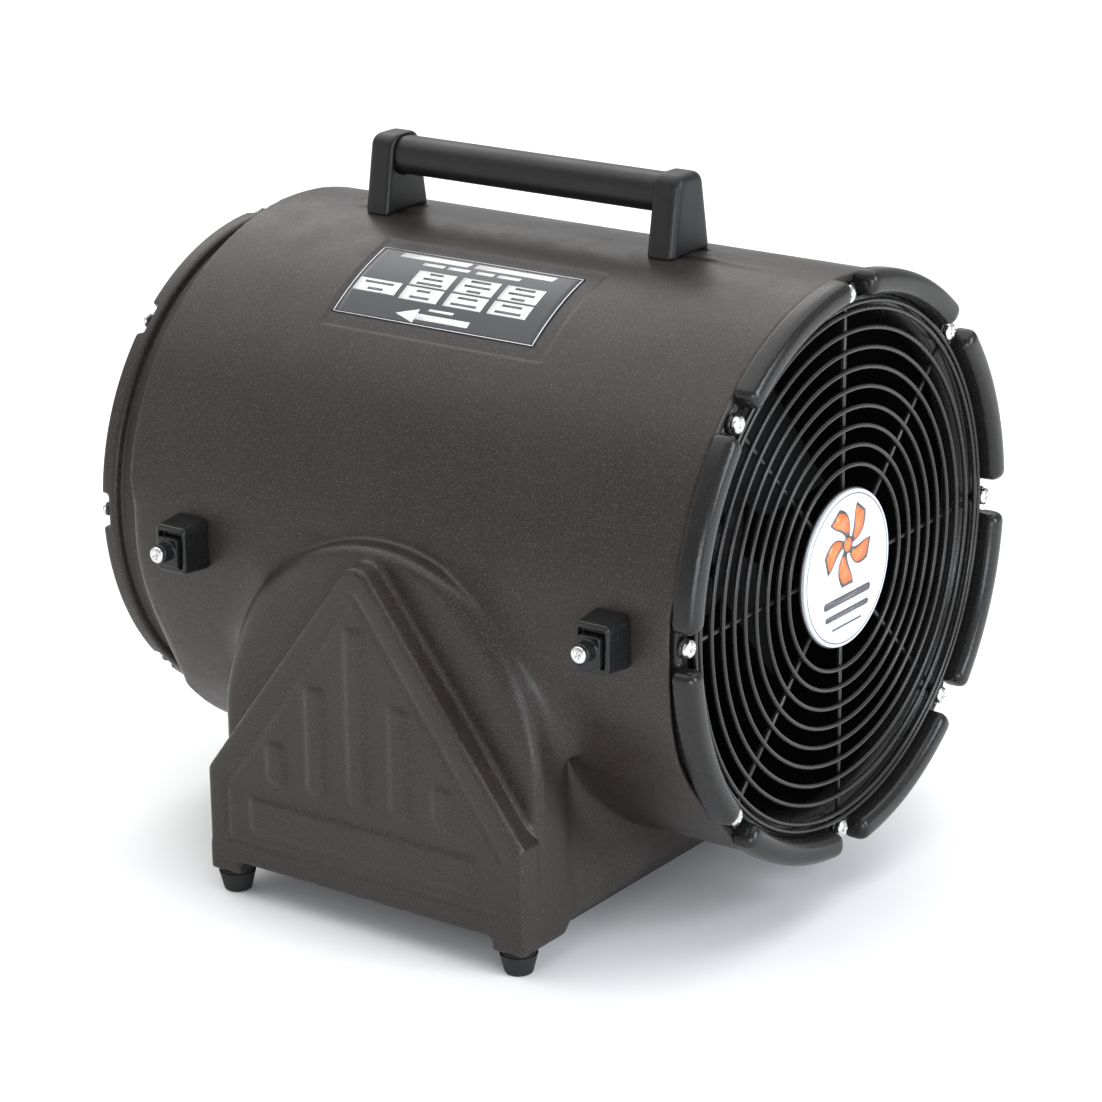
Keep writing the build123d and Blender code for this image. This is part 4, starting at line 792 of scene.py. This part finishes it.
# ---------------------------------------------------------------- printed label
def label_patch(corners, lift=0.05 * MM, thickness=0.1 * MM):
    """Thin printed patch on the label; corners are (across, down) shares, four in order."""
    heights = abs(corners[3][1] - corners[0][1]), abs(corners[2][1] - corners[1][1])
    steps = 2 + int(24 * max(heights))
    verts, faces = [], []
    for level in (0, 1):
        for i in range(steps + 1):
            for k in range(steps + 1):
                s, t = i / steps, k / steps
                top = Vector(corners[0]).lerp(Vector(corners[1]), s)
                bottom = Vector(corners[3]).lerp(Vector(corners[2]), s)
                u, v = top.lerp(bottom, t)
                angle = radians(LABEL_ANGLES[0] + (LABEL_ANGLES[1] - LABEL_ANGLES[0]) * v)
                r = LABEL_R + lift - thickness * (1 - level)
                verts.append(Vector((LABEL_X0 + LABEL_LENGTH * u, -r * cos(angle),
                                     AXIS_Z + r * sin(angle))))
    row = steps + 1
    for level in (0, 1):
        first = level * row * row
        for i in range(steps):
            for k in range(steps):
                a = first + i * row + k
                faces.append((a, a + 1, a + row + 1, a + row))
    border = ([i * row for i in range(row)] + [steps * row + k for k in range(1, row)]
              + [i * row + steps for i in range(steps - 1, -1, -1)] + list(range(steps - 1, 0, -1)))
    for a, b in zip(border, border[1:] + border[:1]):
        faces.append((a, b, b + row * row, a + row * row))
    return verts, faces


def bar(u0, u1, v0, v1, slant=0.0):
    return [(u0 + slant, v0), (u1 + slant, v0), (u1, v1), (u0, v1)]


film_mesh = joined("label film", [label_patch(bar(0, 1, 0, 1), 0.0, 0.4 * MM)])
film = new_piece("spec_label_film", film_mesh, "label_film")
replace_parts(film, "spec_label")
white = [label_patch(bar(0.115, 0.455, 0.055, 0.125, 0.012)),
         label_patch(bar(0.485, 0.870, 0.055, 0.125, 0.012))]
white += [label_patch(bar(a, b, 0.162, 0.205, 0.006))
          for a, b in ((0.25, 0.355), (0.375, 0.48), (0.515, 0.60), (0.62, 0.73))]
cells = [(0.028, 0.238, 0.51, 0.685)]
for u0, u1 in ((0.265, 0.452), (0.485, 0.672), (0.702, 0.888)):
    cells += [(u0, u1, 0.285, 0.500), (u0, u1, 0.525, 0.705)]
white += [label_patch(bar(*cell)) for cell in cells]
white += [label_patch(bar(0.44, 0.56, 0.775, 0.805, 0.004))]
white += [label_patch([(0.300, 0.888), (0.400, 0.797), (0.400, 0.970), (0.300, 0.889)]),
          label_patch(bar(0.398, 0.660, 0.852, 0.924))]
white += [label_patch(bar(0.008, 0.992, 0.984, 0.991)), label_patch(bar(0.989, 0.993, 0.02, 0.99)),
          label_patch(bar(0.008, 0.992, 0.010, 0.017)), label_patch(bar(0.007, 0.011, 0.02, 0.99))]
new_piece("label_print_white", joined("label white", white), "print_white")

grey = []
for u0, u1, v0, v1 in cells:
    lines = 3 if v0 < 0.3 else 2
    for line in range(lines):
        middle = v0 + (v1 - v0) * (line + 0.5) / lines
        inset = 0.16 + 0.08 * ((line * 2 + int(10 * u0)) % 3)
        grey.append(label_patch(bar(u0 + inset * (u1 - u0), u1 - inset * (u1 - u0),
                                    middle - 0.016, middle + 0.016), lift=0.09 * MM))
new_piece("label_print_grey", joined("label grey", grey), "print_grey")


# ---------------------------------------------------------------- printed badge
def badge_patch(outline, lift=0.06 * MM, thickness=0.12 * MM):
    """Thin printed patch on the badge; the outline is in badge radii, y up, x to the right."""
    count = len(outline)
    middle = np.mean(np.array(outline), axis=0)
    verts, faces = [], []
    for level in (0, 1):
        x = BADGE_X + lift - thickness * (1 - level)
        for px, py in list(outline) + [tuple(middle)]:
            verts.append(Vector((x, px * BADGE_R, AXIS_Z + py * BADGE_R)))
    for i in range(count):
        n = (i + 1) % count
        faces.append((i, n, count))
        faces.append((count + 1 + i, count + 1 + n, 2 * count + 1))
        faces.append((i, n, count + 1 + n, count + 1 + i))
    return verts, faces


def wheel_blade(turn, inner, outer, grow=0.0):
    """One curved blade of the fan-wheel sign, in badge radii about the sign's centre."""
    points = []
    for edge, shares in ((1, range(0, 9)), (-1, range(8, -1, -1))):
        for k in shares:
            share = k / 8
            r = inner - grow + (outer - inner + 2 * grow) * share
            half_width = 0.20 + 0.16 * sin(pi * share) + grow / max(r, 0.05)
            swing = turn + 0.55 * share + edge * half_width
            points.append((r * cos(swing), SIGN_Y + r * sin(swing)))
    return points


def band(y, half_width, half_height):
    """A plain straight bar on the badge, its ends rounded."""
    corners = []
    for side in (1, -1):
        for k in range(7):
            t = side * (pi / 2 - pi * k / 6)
            corners.append((side * (half_width + half_height * cos(t)), y + half_height * sin(t)))
    return corners


dark = [badge_patch(wheel_blade(2 * pi * k / 5 + 0.4, 0.14, 0.52, 0.024), lift=0.05 * MM)
        for k in range(5)]
dark += [badge_patch([(0.115 * cos(t), SIGN_Y + 0.115 * sin(t))
                      for t in (2 * pi * k / 24 for k in range(24))], lift=0.05 * MM)]
dark += [badge_patch(band(-0.37, 0.50, 0.050)), badge_patch(band(-0.555, 0.47, 0.038)),
         badge_patch(band(-0.72, 0.33, 0.014))]
ring = []
for k in range(96):
    a, b = 2 * pi * k / 96, 2 * pi * (k + 1) / 96
    ring.append(badge_patch([(0.955 * cos(a), 0.955 * sin(a)), (0.940 * cos(a), 0.940 * sin(a)),
                             (0.940 * cos(b), 0.940 * sin(b)), (0.955 * cos(b), 0.955 * sin(b))]))
new_piece("badge_print_dark", joined("badge dark", dark + ring), "print_grey")
orange = [badge_patch(wheel_blade(2 * pi * k / 5 + 0.4, 0.165, 0.50), lift=0.10 * MM)
          for k in range(5)]
orange += [badge_patch([(0.088 * cos(t), SIGN_Y + 0.088 * sin(t))
                        for t in (2 * pi * k / 24 for k in range(24))], lift=0.10 * MM)]
new_piece("badge_print_orange", joined("badge orange", orange), "print_orange")

# ---------------------------------------------------------------- floor, light and camera
floor_nodes = Nodes("studio floor")
floor_nodes.colour(floor_nodes.mix(floor_nodes.noise(3.0), (0.90, 0.90, 0.90), (0.93, 0.93, 0.93)))
floor_nodes.rough(floor_nodes.span(floor_nodes.noise(40.0), 0.3, 0.7, 0.75, 0.9))
floor_mesh = mesh_of("floor", [(-9, -9, 0), (9, -9, 0), (9, 9, 0), (-9, 9, 0)], [(0, 1, 2, 3)])
floor_mesh.materials.append(floor_nodes.material)
floor = bpy.data.objects.new("floor", floor_mesh)
scene.collection.objects.link(floor)

world = bpy.data.worlds.new("studio")
world.use_nodes = True
world.node_tree.nodes["Background"].inputs["Color"].default_value = (0.97, 0.985, 1.0, 1.0)
world.node_tree.nodes["Background"].inputs["Strength"].default_value = 0.60
scene.world = world
scene.view_settings.view_transform = "Standard"


def softbox(name, place, target, size, power, colour=(1.0, 1.0, 1.0)):
    """Rectangular area light aimed at a point."""
    lamp = bpy.data.lights.new(name, "AREA")
    lamp.shape = "RECTANGLE"
    lamp.size, lamp.size_y = size
    lamp.energy = power
    lamp.color = colour
    holder = bpy.data.objects.new(name, lamp)
    scene.collection.objects.link(holder)
    aim = Vector(target) - Vector(place)
    facing = aim.to_track_quat("-Z", "Y").to_matrix().to_4x4()
    holder.matrix_world = Matrix.Translation(place) @ facing


centre = (0.0, 0.0, 0.2)
softbox("back softbox", (-1.5, 1.2, 1.7), centre, (1.8, 1.4), 6.0, (1.0, 0.99, 0.98))
softbox("left softbox", (-1.9, -1.6, 1.0), centre, (1.1, 1.5), 3.0, (1.0, 0.96, 0.92))
softbox("right softbox", (2.3, 0.2, 1.1), (0.2, 0.0, 0.2), (0.9, 1.4), 40.0, (0.86, 0.93, 1.0))
softbox("low softbox", (1.9, -1.7, 0.45), centre, (1.4, 0.7), 24.0, (0.90, 0.94, 1.0))
sky = bpy.data.lights.new("ceiling light", "SUN")
sky.energy = 2.5
sky.angle = radians(90)
sky_holder = bpy.data.objects.new("ceiling light", sky)
sky_holder.matrix_world = Vector((0.30, -0.20, -1.0)).to_track_quat("-Z", "Y").to_matrix().to_4x4()
scene.collection.objects.link(sky_holder)

YAW, PITCH, ROLL = 0.6266, 0.3258, -0.0125
forward = Vector((-sin(YAW) * cos(PITCH), cos(YAW) * cos(PITCH), -sin(PITCH)))
level = Vector((cos(YAW), sin(YAW), 0.0))
upward = level.cross(forward)
right = level * cos(ROLL) + upward * sin(ROLL)
top = upward * cos(ROLL) - level * sin(ROLL)
lens = bpy.data.cameras.new("camera")
lens.sensor_width = 36.0
lens.lens = 117.76
lens.clip_start = 0.05
lens.clip_end = 60.0
lens.dof.use_dof = False
camera = bpy.data.objects.new("camera", lens)
camera.matrix_world = Matrix(((right.x, top.x, -forward.x, 1.2066),
                              (right.y, top.y, -forward.y, -1.6633),
                              (right.z, top.z, -forward.z, 0.8677),
                              (0.0, 0.0, 0.0, 1.0)))
scene.collection.objects.link(camera)
scene.camera = camera
